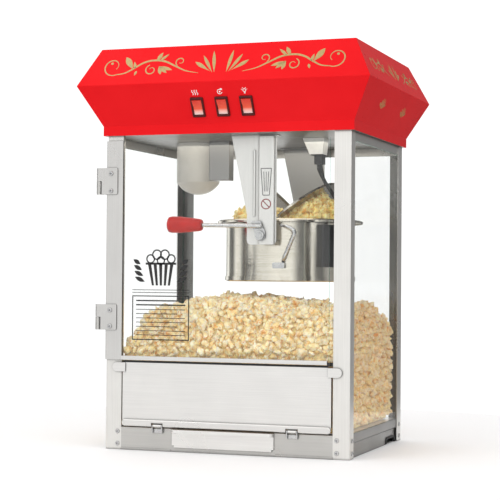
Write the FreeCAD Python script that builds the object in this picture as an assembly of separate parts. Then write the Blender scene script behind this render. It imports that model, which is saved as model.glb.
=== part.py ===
"""Countertop popcorn machine: a glazed cabinet under a flared canopy, with a tilting kettle inside.

Millimetres. X is to the right, Y to the back, Z up. The origin is the bottom centre of the cabinet.
Each node is written to parts/NODE.step.
"""

import FreeCAD
import Part
import math
import os

V = FreeCAD.Vector
X_AXIS = V(1, 0, 0)
Y_AXIS = V(0, 1, 0)
Z_AXIS = V(0, 0, 1)

# ---------------------------------------------------------------- driving dimensions
# cabinet, measured over the corner posts
cabinet_width = 482.0
cabinet_depth = 380.0
sheet = 1.5
glass = 3.0
post_front_face = 32.0
post_side_face = 25.0
base_height = 45.0
deck_level = 43.8
base_thick = 1.2
glass_top = 578.0

# canopy: lip, waist and top, full widths and depths with their heights
lip = (496.0, 394.0)
waist = (574.0, 472.0)
crown = (502.0, 400.0)
lip_bottom = 595.0
lip_top = 613.0
waist_level = 687.0
overall_height = 760.0

# front door and its lift-off hinges
door_left = -241.0
door_right = 202.0
door_bottom = 170.0
door_top = 585.0
door_front = -196.5
door_back = -190.5
stile_width = 34.0
hinge_x = -257.5
hinge_y = -193.0
hinge_radius = 5.5
hinge_pin_radius = 2.5
hinge_spans = ((226.0, 274.6), (483.5, 534.0))

# drop panel below the door
panel_half_width = 206.0
panel_bottom = 45.0
panel_top = 165.0
panel_front = -191.8
panel_axis_y = -193.0
panel_axis_z = 47.0
panel_hinge_x = 133.0

# crumb drawer
drawer_left = -104.0
drawer_right = 97.0
drawer_low = 8.0
drawer_high = 42.0
drawer_length = 250.0

# kettle and the axis that it tilts about
kettle_x = 60.0
kettle_y = 12.0
kettle_radius = 126.0
kettle_base_level = 320.0
brim_radius = 143.0
brim_level = 439.0
pan_radius = 112.0
pan_floor = 357.0
pivot_x = 56.0
pivot_z = 406.0
pivot_radius = 5.0
hanger_front_y = -150.0
hanger_rear_y = 160.0

# half-moon lids on the kettle
lid_radius = 116.0
lid_axis_offset = 7.0
lid_axis_z = 442.7
lid_left_raise = 50.0
lid_right_raise = 40.0

# lamp cup
lamp_x = -135.0
lamp_y = 10.0
lamp_radius = 43.0
lamp_bottom = 493.0

# rocker switches on the sloping front of the canopy
switch_count = 3
switch_spacing = 48.5
switch_width = 25.5
switch_length = 39.0
switch_up_slope = 33.7

# flexible lead from the canopy outlet to the kettle's terminal box
lead_radius = 3.5
lead_route = (
    (137.0, -45.0, 539.0),
    (143.0, -46.0, 519.0),
    (157.0, -49.0, 499.0),
    (174.0, -58.0, 477.0),
    (187.5, -70.8, 455.0),
    (187.5, -70.8, 428.0),
)

half_width = cabinet_width / 2
half_depth = cabinet_depth / 2
inner_x = half_width - sheet
inner_y = half_depth - sheet


# ---------------------------------------------------------------- helpers
def box(x, y, z):
    """A block between two X, two Y and two Z values."""
    return Part.makeBox(x[1] - x[0], y[1] - y[0], z[1] - z[0], V(x[0], y[0], z[0]))


def rod(start, end, radius):
    """A round bar between two points."""
    start = V(*start)
    run = V(*end) - start
    return Part.makeCylinder(radius, run.Length, start, run)


def pipe(start, end, outer, inner):
    """A round tube between two points."""
    return rod(start, end, outer).cut(rod(start, end, inner))


def prism(points, direction):
    """A flat outline, pushed along a direction."""
    corners = [V(*p) for p in points]
    outline = Part.makePolygon(corners + corners[:1])
    return Part.Face(outline).extrude(V(*direction))


def join(first, *others):
    """One solid from solids that touch or overlap."""
    shape = first
    for other in others:
        shape = shape.fuse(other)
    return shape.removeSplitter()


def drilled(shape, screws):
    """The shape with a hole for each screw that passes through it."""
    return shape.cut(screws)


def group(shapes):
    """Separate solids kept together in one node."""
    return Part.makeCompound(list(shapes))


def mirrored(shape):
    """The same shape on the other side of the YZ plane."""
    return shape.mirror(V(0, 0, 0), X_AXIS)


def rounded(shape, radius, chosen):
    """Fillets the edges whose middle and direction pass a test."""
    edges = []
    for edge in shape.Edges:
        middle = edge.valueAt((edge.FirstParameter + edge.LastParameter) / 2)
        ends = edge.Vertexes
        if len(ends) == 2 and chosen(middle, ends[1].Point - ends[0].Point):
            edges.append(edge)
    return shape.makeFillet(radius, edges)


def upright(run):
    return abs(run.x) < 0.01 and abs(run.y) < 0.01


def lying_on_y(run):
    return abs(run.x) < 0.01 and abs(run.z) < 0.01


def frustum(low_size, low_z, high_size, high_z):
    """A block with a rectangular foot and a rectangular top of other sizes."""
    wires = []
    for (width, depth), z in ((low_size, low_z), (high_size, high_z)):
        x = width / 2
        y = depth / 2
        corners = [V(-x, -y, z), V(x, -y, z), V(x, y, z), V(-x, y, z)]
        wires.append(Part.makePolygon(corners + corners[:1]))
    return Part.makeLoft(wires, True, True)


def turned(profile, centre_x, centre_y):
    """A solid of revolution about a vertical line, from (radius, height) points."""
    corners = [V(r, 0, z) for r, z in profile]
    face = Part.Face(Part.makePolygon(corners + corners[:1]))
    solid = face.revolve(V(0, 0, 0), Z_AXIS, 360)
    return solid.translated(V(centre_x, centre_y, 0))


def smooth_path(points):
    """Straight runs joined by tangent arcs, each as large as its two runs allow."""
    points = [V(*p) for p in points]
    edges = []
    radii = []
    start = points[0]
    for before, corner, after in zip(points, points[1:], points[2:]):
        back = (before - corner).normalize()
        ahead = (after - corner).normalize()
        half_turn = (math.pi - back.getAngle(ahead)) / 2
        reach = 0.45 * min((before - corner).Length, (after - corner).Length)
        radius = reach / math.tan(half_turn)
        entry = corner + back * reach
        leave = corner + ahead * reach
        inward = (back + ahead).normalize()
        middle = corner + inward * (radius / math.cos(half_turn) - radius)
        edges.append(Part.LineSegment(start, entry).toShape())
        edges.append(Part.Arc(entry, middle, leave).toShape())
        radii.append(radius)
        start = leave
    edges.append(Part.LineSegment(start, points[-1]).toShape())
    return Part.Wire(edges), radii


def round_bar(points, radius, show_radii=False):
    """A bent round bar or cord through the given points."""
    path, radii = smooth_path(points)
    first = path.Edges[0]
    ring = Part.makeCircle(radius, first.valueAt(first.FirstParameter), first.tangentAt(0))
    bar = path.makePipeShell([Part.Wire(ring)], True, False)
    if show_radii:
        section = math.pi * radius * radius
        print("bend radii", [round(r) for r in radii], "length", round(path.Length, 1))
        print("volume over section times length", round(bar.Volume / (section * path.Length), 4))
    return bar


def pan_head_screw(place, outward, head_radius, head_height, shank_length):
    """A domed screw head that stands on a face, with its shank going in."""
    place = V(*place)
    outward = V(*outward)
    shank_radius = head_radius * 0.5
    head = Part.makeCylinder(head_radius, head_height, place, outward)
    head = head.makeFillet(head_height * 0.6, [outer_rim(head, place + outward * head_height)])
    turn = FreeCAD.Rotation(Z_AXIS, outward)
    socket_place = place + outward * (head_height * 0.45)
    for angle in (0, 90):
        slot = Part.makeBox(head_radius * 1.1, head_radius * 0.22, head_height)
        slot.translate(V(-head_radius * 0.55, -head_radius * 0.11, 0))
        slot.rotate(V(0, 0, 0), Z_AXIS, angle)
        slot.Placement = FreeCAD.Placement(socket_place, turn).multiply(slot.Placement)
        head = head.cut(slot)
    shank = Part.makeCylinder(shank_radius, shank_length, place, outward * -1)
    return join(head, shank)


def outer_rim(head, top):
    """The round edge that lies at a given height on a short cylinder."""
    for edge in head.Edges:
        if edge.Closed and (edge.BoundBox.Center - top).Length < 0.01:
            return edge
    raise ValueError("no rim there")


# ---------------------------------------------------------------- frame
def front_post():
    """A folded corner angle with a stiffening return, right-hand side."""
    inner_edge = half_width - post_front_face
    outline = [
        (inner_edge, -half_depth),
        (half_width, -half_depth),
        (half_width, -half_depth + post_side_face),
        (inner_x, -half_depth + post_side_face),
        (inner_x, -inner_y),
        (inner_edge + sheet, -inner_y),
        (inner_edge + sheet, -half_depth + 8),
        (inner_edge, -half_depth + 8),
    ]
    post = prism([(x, y, 0) for x, y in outline], (0, 0, lip_bottom))
    return rounded(post, 1.2, lambda m, run: upright(run) and m.x > half_width - 0.1 and m.y < -half_depth + 1)


def rear_post():
    """A folded corner angle, right-hand side."""
    rear_face = 25.0
    side_face = 32.0
    outline = [
        (half_width, half_depth),
        (half_width - rear_face, half_depth),
        (half_width - rear_face, inner_y),
        (inner_x, inner_y),
        (inner_x, half_depth - side_face),
        (half_width, half_depth - side_face),
    ]
    post = prism([(x, y, 0) for x, y in outline], (0, 0, lip_bottom))
    return rounded(post, 1.2, lambda m, run: upright(run) and m.x > half_width - 0.1 and m.y > half_depth - 1)


def base_front_strip():
    """The strip under the drop panel, with the drawer's opening and a folded top and foot."""
    reach = half_width - post_front_face
    face = box((-reach, reach), (-half_depth, -inner_y), (0, 42.5))
    top_fold = box((-reach, reach), (-half_depth, -177), (42.5 - sheet, 42.5))
    left_hem = box((-reach, drawer_left - 3), (-half_depth - 0.8, -inner_y), (0, 4))
    right_hem = box((drawer_right + 3, reach), (-half_depth - 0.8, -inner_y), (0, 4))
    strip = join(face, top_fold, left_hem, right_hem)
    opening = box((drawer_left + 3, drawer_right - 3), (-half_depth - 2, -inner_y + 1), (drawer_low + 1, 40.8))
    return strip.cut(opening)


def side_rail_outline(x):
    """Section of a side rail: upper band in line with the glass, lower part set in."""
    set_in = 3.0
    bend = 27.5
    outer = inner_x
    section = [
        (outer, base_height),
        (outer, bend + 1.5),
        (outer - set_in, bend - 1.5),
        (outer - set_in, 0),
        (outer - set_in - sheet, 0),
        (outer - set_in - sheet, bend - 0.9),
        (outer - sheet, bend + 2.1),
        (outer - sheet, base_height),
    ]
    return [(px, -inner_y, pz) for px, pz in section]


notch_centre_y = 119.0
notch_half_length = 35.0
notch_height = 12.0


def notch_shape(grow, x):
    """A low arch with round shoulders that stands on the base line, along X."""
    low = notch_centre_y - notch_half_length - grow
    high = notch_centre_y + notch_half_length + grow
    top = notch_height + grow
    block = box(x, (low, high), (-top, top))
    return rounded(block, top - 0.1, lambda m, run: abs(run.y) < 0.01 and abs(run.z) < 0.01)


def base_side(with_notch):
    rail = prism(side_rail_outline(inner_x), (0, 2 * inner_y, 0))
    if with_notch:
        rail = rail.cut(notch_shape(0, (inner_x - 10, inner_x + 5)))
    return rail


def cord_grommet():
    """Rubber edge trim that wraps the sheet around the cord notch."""
    sheet_out = inner_x - 3.0
    sheet_in = sheet_out - sheet
    lining = notch_shape(0, (sheet_in - 1.5, sheet_out + 1.5))
    lining = lining.cut(notch_shape(-2.5, (sheet_in - 3, sheet_out + 3)))
    outer_lip = notch_shape(2.4, (sheet_out, sheet_out + 1.5)).cut(notch_shape(-2.5, (sheet_out - 3, sheet_out + 3)))
    inner_lip = notch_shape(2.4, (sheet_in - 1.5, sheet_in)).cut(notch_shape(-2.5, (sheet_in - 3, sheet_in + 3)))
    trim = join(lining, outer_lip, inner_lip)
    return trim.common(box((sheet_in - 5, sheet_out + 5), (0, half_depth), (base_thick, 40)))


def deck_plate():
    """The cabinet's floor, with holes that let old maids fall into the drawer."""
    plate = box((-inner_x + 2.5, inner_x - 2.5), (-176, 186.5), (deck_level, deck_level + 1.2))
    holes = []
    for column in range(9):
        for row in range(8):
            x = -84 + column * 20
            y = -140 + row * 20
            holes.append(rod((x, y, deck_level - 1), (x, y, deck_level + 2), 4.5))
    return plate.cut(group(holes))


def drawer_runner(side):
    """An angle that the drawer rides on; side is -1 for the left one."""
    wall = drawer_left + 5.5 if side < 0 else drawer_right - 5.5
    outside = wall + side * sheet
    foot_end = wall - side * 8
    upright_leg = box(sorted((wall, outside)), (-187, 80), (base_thick, 30))
    ledge = box(sorted((foot_end, outside)), (-187, 80), (7.6, 9.0))
    return join(upright_leg, ledge)


def top_rails():
    """Bands that close the frame above the glass on the sides and the rear."""
    left = box((-inner_x, -inner_x + sheet), (-inner_y, inner_y), (glass_top, lip_bottom))
    right = mirrored(left)
    rear = box((-inner_x + sheet, inner_x - sheet), (inner_y - sheet, inner_y), (glass_top, lip_bottom))
    return group([left, right, rear])


# ---------------------------------------------------------------- canopy
def canopy_skin(shrink):
    """The outside of the canopy, or its inside when every wall is moved in."""
    def less(size):
        return (size[0] - 2 * shrink, size[1] - 2 * shrink)

    upright_part = frustum(less(lip), lip_bottom, less(lip), lip_top)
    flare = frustum(less(lip), lip_top, less(waist), waist_level)
    taper = frustum(less(waist), waist_level, less(crown), overall_height)
    return join(upright_part, flare, taper)


def switch_frame(index):
    """Placement of one switch: its own Z stands out of the sloping face."""
    run = (waist[1] - lip[1]) / 2
    rise = waist_level - lip_top
    slope = math.hypot(run, rise)
    share = switch_up_slope / slope
    x = (index - (switch_count - 1) / 2) * switch_spacing
    place = V(x, -(lip[1] / 2 + run * share), lip_top + rise * share)
    up = V(0, -run / slope, rise / slope)
    out = V(0, -rise / slope, -run / slope)
    return FreeCAD.Placement(place, FreeCAD.Rotation(X_AXIS, up, out, "ZXY"))


def placed(shape, placement):
    moved = shape.copy()
    moved.Placement = placement.multiply(moved.Placement)
    return moved


def canopy_shell():
    """Folded sheet with three switch openings; closed by a separate top plate."""
    outside = canopy_skin(0)
    outside = rounded(outside, 2.5, lambda m, run: waist_level - 0.1 < m.z < waist_level + 0.1)
    shell = outside.cut(canopy_skin(sheet))
    top_hole = box((-crown[0] / 2 + 14, crown[0] / 2 - 14), (-crown[1] / 2 + 14, crown[1] / 2 - 14), (740, 761))
    flange = frustum((crown[0] - 2, crown[1] - 2), overall_height - sheet, crown, overall_height)
    shell = join(shell, flange).cut(top_hole)
    for index in range(switch_count):
        opening = box((-10.6, 10.6), (-17, 17), (-8, 8))
        shell = shell.cut(placed(opening, switch_frame(index)))
    return shell


def canopy_top():
    """A lid plate that drops into the canopy's top with a shallow folded edge."""
    x = crown[0] / 2 - 14
    y = crown[1] / 2 - 14
    gap = 0.2
    plug = box((-x + gap, x - gap), (-y + gap, y - gap), (overall_height - 9, overall_height - 0.2))
    hollow = box((-x + gap + sheet, x - gap - sheet), (-y + gap + sheet, y - gap - sheet), (740, overall_height - sheet))
    return plug.cut(hollow)


def switch_bezel():
    """A dark frame around the rocker, with the switch body behind it."""
    w = switch_width / 2
    h = switch_length / 2
    frame = box((-w, w), (-h, h), (0, 3.2))
    frame = rounded(frame, 2.0, lambda m, run: upright(run))
    frame = frame.makeChamfer(1.0, [e for e in frame.Edges if e.BoundBox.ZMin > 3.1])
    body = box((-10.4, 10.4), (-16.8, 16.8), (-20, 0))
    well = box((-9.4, 9.4), (-15.4, 15.4), (-8, 6))
    return join(frame, body).cut(well)


rocker_swing = 16.0


def rocker_cap():
    """A shallow vee-shaped rocker with a round boss on its axis, resting with its lower half pressed in."""
    cap = prism([(-9.1, -14.6, -3), (-9.1, 14.6, -3), (-9.1, 14.6, 2.6), (-9.1, 0, 1.0), (-9.1, -14.6, 2.6)], (18.2, 0, 0))
    cap = cap.cut(prism([(-12, -16, -6), (-12, -16, -1.2), (-12, -2.2, -6)], (24, 0, 0)))
    cap = cap.cut(prism([(-12, 16, -6), (-12, 2.2, -6), (-12, 16, -1.2)], (24, 0, 0)))
    lower_half = box((-9.1, 9.1), (-6, 6), (-6, -0.5))
    cap = join(cap, rod((-9.1, 0, 0), (9.1, 0, 0), 5.5).common(lower_half))
    cap.rotate(V(0, 0, 0), X_AXIS, rocker_swing / 2)
    return cap


# ---------------------------------------------------------------- door
def door_stile():
    """A channel that grips the left edge of the door glass."""
    outer = box((door_left, door_left + stile_width), (door_front, door_back), (door_bottom, door_top))
    outer = rounded(outer, 1.4, lambda m, run: upright(run) and m.x < door_left + 1)
    slot = box((door_left + 4, door_left + stile_width + 1), (-195.0, -192.0), (door_bottom - 1, door_top + 1))
    return outer.cut(slot)


def door_glass():
    pane = box((door_left + 4, door_right), (-195.0, -192.0), (door_bottom + 1.5, door_top))
    return rounded(pane, 6.0, lambda m, run: lying_on_y(run) and m.x > door_right - 1 and m.z > door_top - 1)


def door_bottom_channel():
    """A narrow channel under the glass."""
    x = (door_left + stile_width, door_right - 3)
    outer = box(x, (door_front, door_back), (door_bottom, door_bottom + 7.5))
    slot = box((x[0] - 1, x[1] + 1), (-195.0, -192.0), (door_bottom + 1.5, door_bottom + 9))
    return outer.cut(slot)


def door_hinge_leaf(span):
    """Upper half of the barrel with the leaf that is screwed to the stile."""
    low, high = span
    middle = (low + high) / 2
    leaf_front = hinge_y - hinge_radius
    knuckle = rod((hinge_x, hinge_y, middle + 0.2), (hinge_x, hinge_y, high), hinge_radius)
    neck = box((hinge_x, -245), (leaf_front, door_front), (middle + 0.2, high))
    plate = box((-250.5, -217.6), (leaf_front, door_front), (low, high))
    plate = rounded(plate, 3.0, lambda m, run: lying_on_y(run) and m.x > -220)
    bore = rod((hinge_x, hinge_y, middle), (hinge_x, hinge_y, high - 3), hinge_pin_radius + 0.05)
    return join(knuckle, neck, plate).cut(bore)


def fixed_hinge_leaf(span):
    """Lower half of the barrel with the leaf that wraps to the post's side."""
    low, high = span
    middle = (low + high) / 2
    leaf_back = hinge_y + hinge_radius
    knuckle = rod((hinge_x, hinge_y, low), (hinge_x, hinge_y, middle - 0.2), hinge_radius)
    neck = box((hinge_x, -half_width), (leaf_back - 2, leaf_back), (low, middle - 0.2))
    plate = box((-half_width - 2, -half_width), (leaf_back - 2, -166), (low, middle - 0.2))
    bore = rod((hinge_x, hinge_y, low + 4), (hinge_x, hinge_y, middle), hinge_pin_radius)
    return join(knuckle, neck, plate).cut(bore)


def hinge_pin(span):
    low, high = span
    return rod((hinge_x, hinge_y, low + 4), (hinge_x, hinge_y, high - 4), hinge_pin_radius)


def hinge_screws():
    """Two screws through each door leaf into the stile."""
    screws = []
    for low, high in hinge_spans:
        for z in (low + 7, high - 11):
            screws.append(pan_head_screw((-230.8, hinge_y - hinge_radius, z), (0, -1, 0), 4.2, 2.2, 3.4))
    return group(screws)


def door_strike():
    """Small black clip on the glass's lower corner, which the magnet holds."""
    clip = box((door_right - 3, door_right + 2.5), (-195.6, -190.8), (door_bottom - 2.5, door_bottom + 4))
    slot = box((door_right - 4, door_right), (-195.0, -192.0), (door_bottom + 1.5, door_bottom + 5))
    return clip.cut(slot)


def door_magnet():
    """Magnet block on the inside edge of the right-hand post."""
    return box((199.5, half_width - post_front_face), (-189.5, -180), (door_bottom - 2, door_bottom + 4))


# ---------------------------------------------------------------- drop panel
def drop_panel():
    """Pressed sheet with thick ears that rest on the posts, and knuckles along its foot."""
    back = panel_front + sheet
    ear_front = panel_front - 2.4
    sheet_face = box((-panel_half_width, panel_half_width), (panel_front, back), (50.5, panel_top))
    top_fold = box((-panel_half_width, panel_half_width), (panel_front, -182), (panel_top - sheet, panel_top))
    panel = join(sheet_face, top_fold)
    for side in (-1, 1):
        tab = box(sorted((side * 200.0, side * 218.0)), (ear_front, back), (147.5, 164.5))
        tip = rod((side * 218.0, ear_front, 156), (side * 218.0, back, 156), 8.5)
        fold_x = sorted((side * (panel_half_width - sheet), side * panel_half_width))
        side_fold = box(fold_x, (panel_front, -182), (56, panel_top))
        panel = join(panel, tab, tip, side_fold)
        x = side * panel_hinge_x
        knuckle = rod((x - 8, panel_axis_y, panel_axis_z), (x + 8, panel_axis_y, panel_axis_z), 3.2)
        web = box((x - 8, x + 8), (panel_front, back), (panel_axis_z, 52))
        bore = rod((x - 9, panel_axis_y, panel_axis_z), (x + 9, panel_axis_y, panel_axis_z), 1.6)
        panel = join(panel, knuckle, web).cut(bore)
    return panel


def panel_hem():
    """A rolled bar along the panel's foot, with round ends and gaps for the hinges."""
    bar = box((-panel_half_width, panel_half_width), (-196.4, panel_front), (panel_bottom, 58))
    bar = rounded(bar, 6.0, lambda m, run: lying_on_y(run))
    bar = rounded(bar, 2.6, lambda m, run: abs(run.x) > 50 and m.y < -196)
    for side in (-1, 1):
        x = side * panel_hinge_x
        bar = bar.cut(box((x - 12, x + 12), (-200, -190), (40, 52.5)))
    return bar


def panel_hinge_bracket(x):
    """Two ears on the base strip with a pin between them."""
    pin = rod((x - 10.5, panel_axis_y, panel_axis_z), (x + 10.5, panel_axis_y, panel_axis_z), 1.55)
    ears = []
    for side in (-1, 1):
        low = x + side * 9.7 - 0.8
        ear = rod((low, panel_axis_y, panel_axis_z), (low + 1.6, panel_axis_y, panel_axis_z), 2.8)
        leg = box((low, low + 1.6), (panel_axis_y - 2.8, -half_depth), (34, panel_axis_z))
        ears += [ear, leg]
    pad = box((x - 10.5, x + 10.5), (-half_depth - 1.2, -half_depth), (34, 41))
    return join(pin, pad, *ears)


# ---------------------------------------------------------------- drawer
def drawer_tray():
    outside = box((drawer_left + 6, drawer_right - 6), (-190.3, -190.3 + drawer_length), (9.4, 39.5))
    inside = box((drawer_left + 7, drawer_right - 7), (-189.3, -191.3 + drawer_length), (10.4, 41))
    return outside.cut(inside)


def drawer_front():
    """Overlay front with a finger lip that has round ends."""
    face = box((drawer_left, drawer_right), (-192.3, -190.3), (drawer_low, drawer_high))
    for x in (drawer_left, drawer_right):
        face = face.cut(box((x - 4, x + 4), (-193, -190), (drawer_low - 1, drawer_low + 4)))
    lip_solid = box((drawer_left, drawer_right), (-202.0, -192.3), (36, drawer_high))
    lip_solid = rounded(lip_solid, 8.0, lambda m, run: upright(run) and m.y < -201)
    lip_space = box((drawer_left + 1.5, drawer_right - 1.5), (-200.5, -192.3), (30, drawer_high - 1.5))
    lip_space = rounded(lip_space, 6.5, lambda m, run: upright(run) and m.y < -200)
    return join(face, lip_solid.cut(lip_space))


# ---------------------------------------------------------------- kettle hangers
def hanger(y, outward):
    """A plate from the ceiling down to the pivot, with a raised channel; outward is -1 at the front."""
    far = y - outward * sheet
    edges = [(-5, lip_bottom), (85, lip_bottom), (85, 389), (27, 389), (27, 445)]
    plate = prism([(x, y, z) for x, z in edges], (0, far - y, 0))
    plate = rounded(plate, 8.0, lambda m, run: lying_on_y(run) and m.z < 400)
    crest = y + outward * 5.0
    channel = box((50, 82), sorted((crest, y)), (389, lip_bottom - 4))
    channel = rounded(channel, 3.5, lambda m, run: upright(run) and abs(m.y - crest) < 0.1)
    bead_top = 566.0
    bead = box((39, 44), sorted((y + outward * 3.0, y)), (442, bead_top))
    bead = rounded(bead, 2.2, lambda m, run: upright(run) and abs(m.y - (y + outward * 3.0)) < 0.1)
    fold = box((-5, 85), sorted((y, y - outward * 22)), (lip_bottom - sheet, lip_bottom))
    shape = join(plate, channel, bead, fold)
    hollow = box((52, 80), sorted((far, crest - outward * 2.0)), (380, 400))
    shape = shape.cut(hollow)
    hole = rod((pivot_x, min(crest, far) - 1, pivot_z), (pivot_x, max(crest, far) + 1, pivot_z), 7.0)
    return shape.cut(hole)


def pivot_bush(y, outward):
    """A flanged bush pressed into the hanger."""
    crest = y + outward * 5.0
    far = y - outward * sheet
    body = pipe((pivot_x, crest, pivot_z), (pivot_x, far, pivot_z), 7.0, pivot_radius + 0.05)
    flange = pipe((pivot_x, far, pivot_z), (pivot_x, far - outward * 1.5, pivot_z), 10.0, pivot_radius + 0.05)
    return join(body, flange)


# ---------------------------------------------------------------- lamp, outlet and wiring
def lamp_cup():
    """A cup with a domed bottom that hangs from the ceiling."""
    wall = 2.0
    dome_rise = 24.0
    rim_z = lamp_bottom + dome_rise

    def dome(radius, rise, base_z):
        sphere_radius = (radius * radius + rise * rise) / (2 * rise)
        centre = V(lamp_x, lamp_y, base_z - rise + sphere_radius)
        ball = Part.makeSphere(sphere_radius, centre)
        return ball.common(rod((lamp_x, lamp_y, base_z - rise), (lamp_x, lamp_y, base_z), radius))

    outer = join(dome(lamp_radius, dome_rise, rim_z), rod((lamp_x, lamp_y, rim_z), (lamp_x, lamp_y, lip_bottom), lamp_radius))
    inner_dome = dome(lamp_radius - wall, dome_rise - wall, rim_z)
    inner = join(inner_dome, rod((lamp_x, lamp_y, rim_z), (lamp_x, lamp_y, lip_bottom), lamp_radius - wall))
    return outer.cut(inner)


def lamp_bulb():
    globe = Part.makeSphere(21.0, V(lamp_x, lamp_y, 534))
    neck = Part.makeCone(15.0, 12.0, 16, V(lamp_x, lamp_y, 546), Z_AXIS)
    cap = rod((lamp_x, lamp_y, 562), (lamp_x, lamp_y, 572), 12.0)
    return join(globe, neck, cap)


def lamp_socket():
    return turned([(12.2, 562), (18, 562), (18, 588), (26, 590), (26, 595), (0, 595), (0, 572.2), (12.2, 572.2)], lamp_x, lamp_y)


def wiring_box():
    """Sheet cover over the connections of the lamp and the kettle circuit."""
    outside = box((-93, -50), (-40, -14), (518, lip_bottom))
    outside = rounded(outside, 2.0, lambda m, run: m.z < 519 or upright(run))
    return outside.cut(box((-91.8, -51.2), (-38.8, -15.2), (519.2, lip_bottom + 1)))


def outlet_bracket():
    """Tapered cover that carries the outlet for the kettle's plug."""
    def taper(shrink, low):
        points = [(107 + shrink, lip_bottom), (150 - shrink, lip_bottom), (147 - shrink, low), (121 + shrink, low)]
        return prism([(x, -60 + shrink, z) for x, z in points], (0, 30 - 2 * shrink, 0))

    return taper(0, 564).cut(taper(1.5, 562))


def outlet_socket():
    """Black insert in the cover's mouth."""
    return box((123, 145), (-58.2, -31.8), (562, 570))


def kettle_plug():
    """Plug with a tapered body and a collar for the lead."""
    body = box((128, 146), (-55, -35), (545, 562))
    body = rounded(body, 3.0, lambda m, run: upright(run))
    collar = rod((137, -45, 539), (137, -45, 546), 5.5)
    return join(body, collar)


# ---------------------------------------------------------------- kettle
def kettle_wall_block():
    """The cylinder that the kettle's outer wall encloses, to trim what is fixed to it."""
    return rod((kettle_x, kettle_y, 300), (kettle_x, kettle_y, 460), kettle_radius)


def kettle_shell():
    """Outer jacket."""
    outer = kettle_radius
    inner = kettle_radius - sheet
    profile = [(inner, 322), (outer, 322), (outer, brim_level - 2), (inner, brim_level - 2)]
    return turned(profile, kettle_x, kettle_y)


def kettle_pan():
    """Cooking pan with a wide brim turned down at its edge."""
    inner = pan_radius
    outer = pan_radius + sheet
    low = pan_floor
    top = brim_level
    profile = [
        (6.05, low),
        (inner - 12, low),
        (inner - 3, low + 3.5),
        (inner, low + 12),
        (inner, top - 3),
        (inner + 3, top),
        (brim_radius - 2, top),
        (brim_radius, top - 2),
        (brim_radius, top - 6),
        (brim_radius - 1.5, top - 6),
        (brim_radius - 1.5, top - 2.6),
        (brim_radius - 2.4, top - 2),
        (inner + 3.8, top - 2),
        (outer, top - 3.6),
        (outer, low + 11.5),
        (inner - 2, low + 2),
        (inner - 11.5, low - 2),
        (6.05, low - 2),
    ]
    return turned(profile, kettle_x, kettle_y)


def kettle_base():
    """Bottom cover with a band around the jacket."""
    outer = kettle_radius + 2
    profile = [(0, 320), (outer - 2, 320), (outer, 322), (outer, 330), (outer - 1.9, 330), (outer - 1.9, 322), (0, 322)]
    return turned(profile, kettle_x, kettle_y)


def kettle_heater():
    """Heating plate clamped under the pan."""
    return turned([(20, pan_floor - 10), (90, pan_floor - 10), (90, pan_floor - 2), (20, pan_floor - 2)], kettle_x, kettle_y)


def stir_motor():
    """Gear motor on the bottom cover."""
    case = rod((kettle_x, kettle_y, 322), (kettle_x, kettle_y, 344), 24)
    bracket = box((kettle_x - 40, kettle_x + 40), (kettle_y - 10, kettle_y + 10), (322, 324))
    bush = rod((kettle_x, kettle_y, 344), (kettle_x, kettle_y, 352), 9)
    bore = rod((kettle_x, kettle_y, 334), (kettle_x, kettle_y, 353), 5.05)
    return join(case, bracket, bush).cut(bore)


def stirrer():
    """Shaft, hub and two swept blades that scrape the pan's floor."""
    shaft = rod((kettle_x, kettle_y, 334), (kettle_x, kettle_y, 378), 5.0)
    hub = rod((kettle_x, kettle_y, pan_floor + 0.6), (kettle_x, kettle_y, 372), 9.5)
    nut = rod((kettle_x, kettle_y, 378), (kettle_x, kettle_y, 384), 8.0)
    blades = []
    for turn in (0, 180):
        points = [(0, -5), (45, -9), (92, 4), (94, 10), (45, 1), (0, 5)]
        blade = prism([(kettle_x + x, kettle_y + y, pan_floor + 0.8) for x, y in points], (0, 0, 5.0))
        blade.rotate(V(kettle_x, kettle_y, 0), Z_AXIS, turn + 25)
        blades.append(blade)
    return join(shaft, hub, nut, *blades)


def trunnion_pins():
    """Pivot pins on the kettle's front and rear."""
    front = rod((pivot_x, -165.0, pivot_z), (pivot_x, kettle_y, pivot_z), pivot_radius)
    front_pad = rod((pivot_x, -120.0, pivot_z), (pivot_x, kettle_y, pivot_z), 16.0)
    rear = rod((pivot_x, kettle_y, pivot_z), (pivot_x, hanger_rear_y + 8.0, pivot_z), pivot_radius)
    rear_pad = rod((pivot_x, kettle_y, pivot_z), (pivot_x, 144.0, pivot_z), 16.0)
    wall = kettle_wall_block()
    return group([join(front, front_pad).cut(wall), join(rear, rear_pad).cut(wall)])


lid_lugs_y = (kettle_y - 84.0, kettle_y, kettle_y + 84.0)
lid_lug_half = 3.0


def lid_crossbar():
    """Bar across the brim with the two hinge rods of the lids and the lugs that hold them."""
    ends = (kettle_y - 124, kettle_y + 124)
    bar = box((kettle_x - 3.0, kettle_x + 3.0), ends, (brim_level, brim_level + 5))
    bar = join(bar, box((kettle_x - 3.0, kettle_x + 3.0), (ends[0], ends[0] + 18), (brim_level, brim_level + 2)))
    for side in (-1, 1):
        x = kettle_x + side * lid_axis_offset
        hinge = rod((x, lid_lugs_y[0] - 3, lid_axis_z), (x, lid_lugs_y[-1] + 3, lid_axis_z), 1.9)
        bar = join(bar, hinge)
        for y in lid_lugs_y:
            lug = rod((x, y - lid_lug_half, lid_axis_z), (x, y + lid_lug_half, lid_axis_z), 3.4)
            web = box(sorted((kettle_x, x)), (y - lid_lug_half, y + lid_lug_half), (brim_level + 0.6, lid_axis_z))
            bar = join(bar, lug, web)
    return bar


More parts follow.
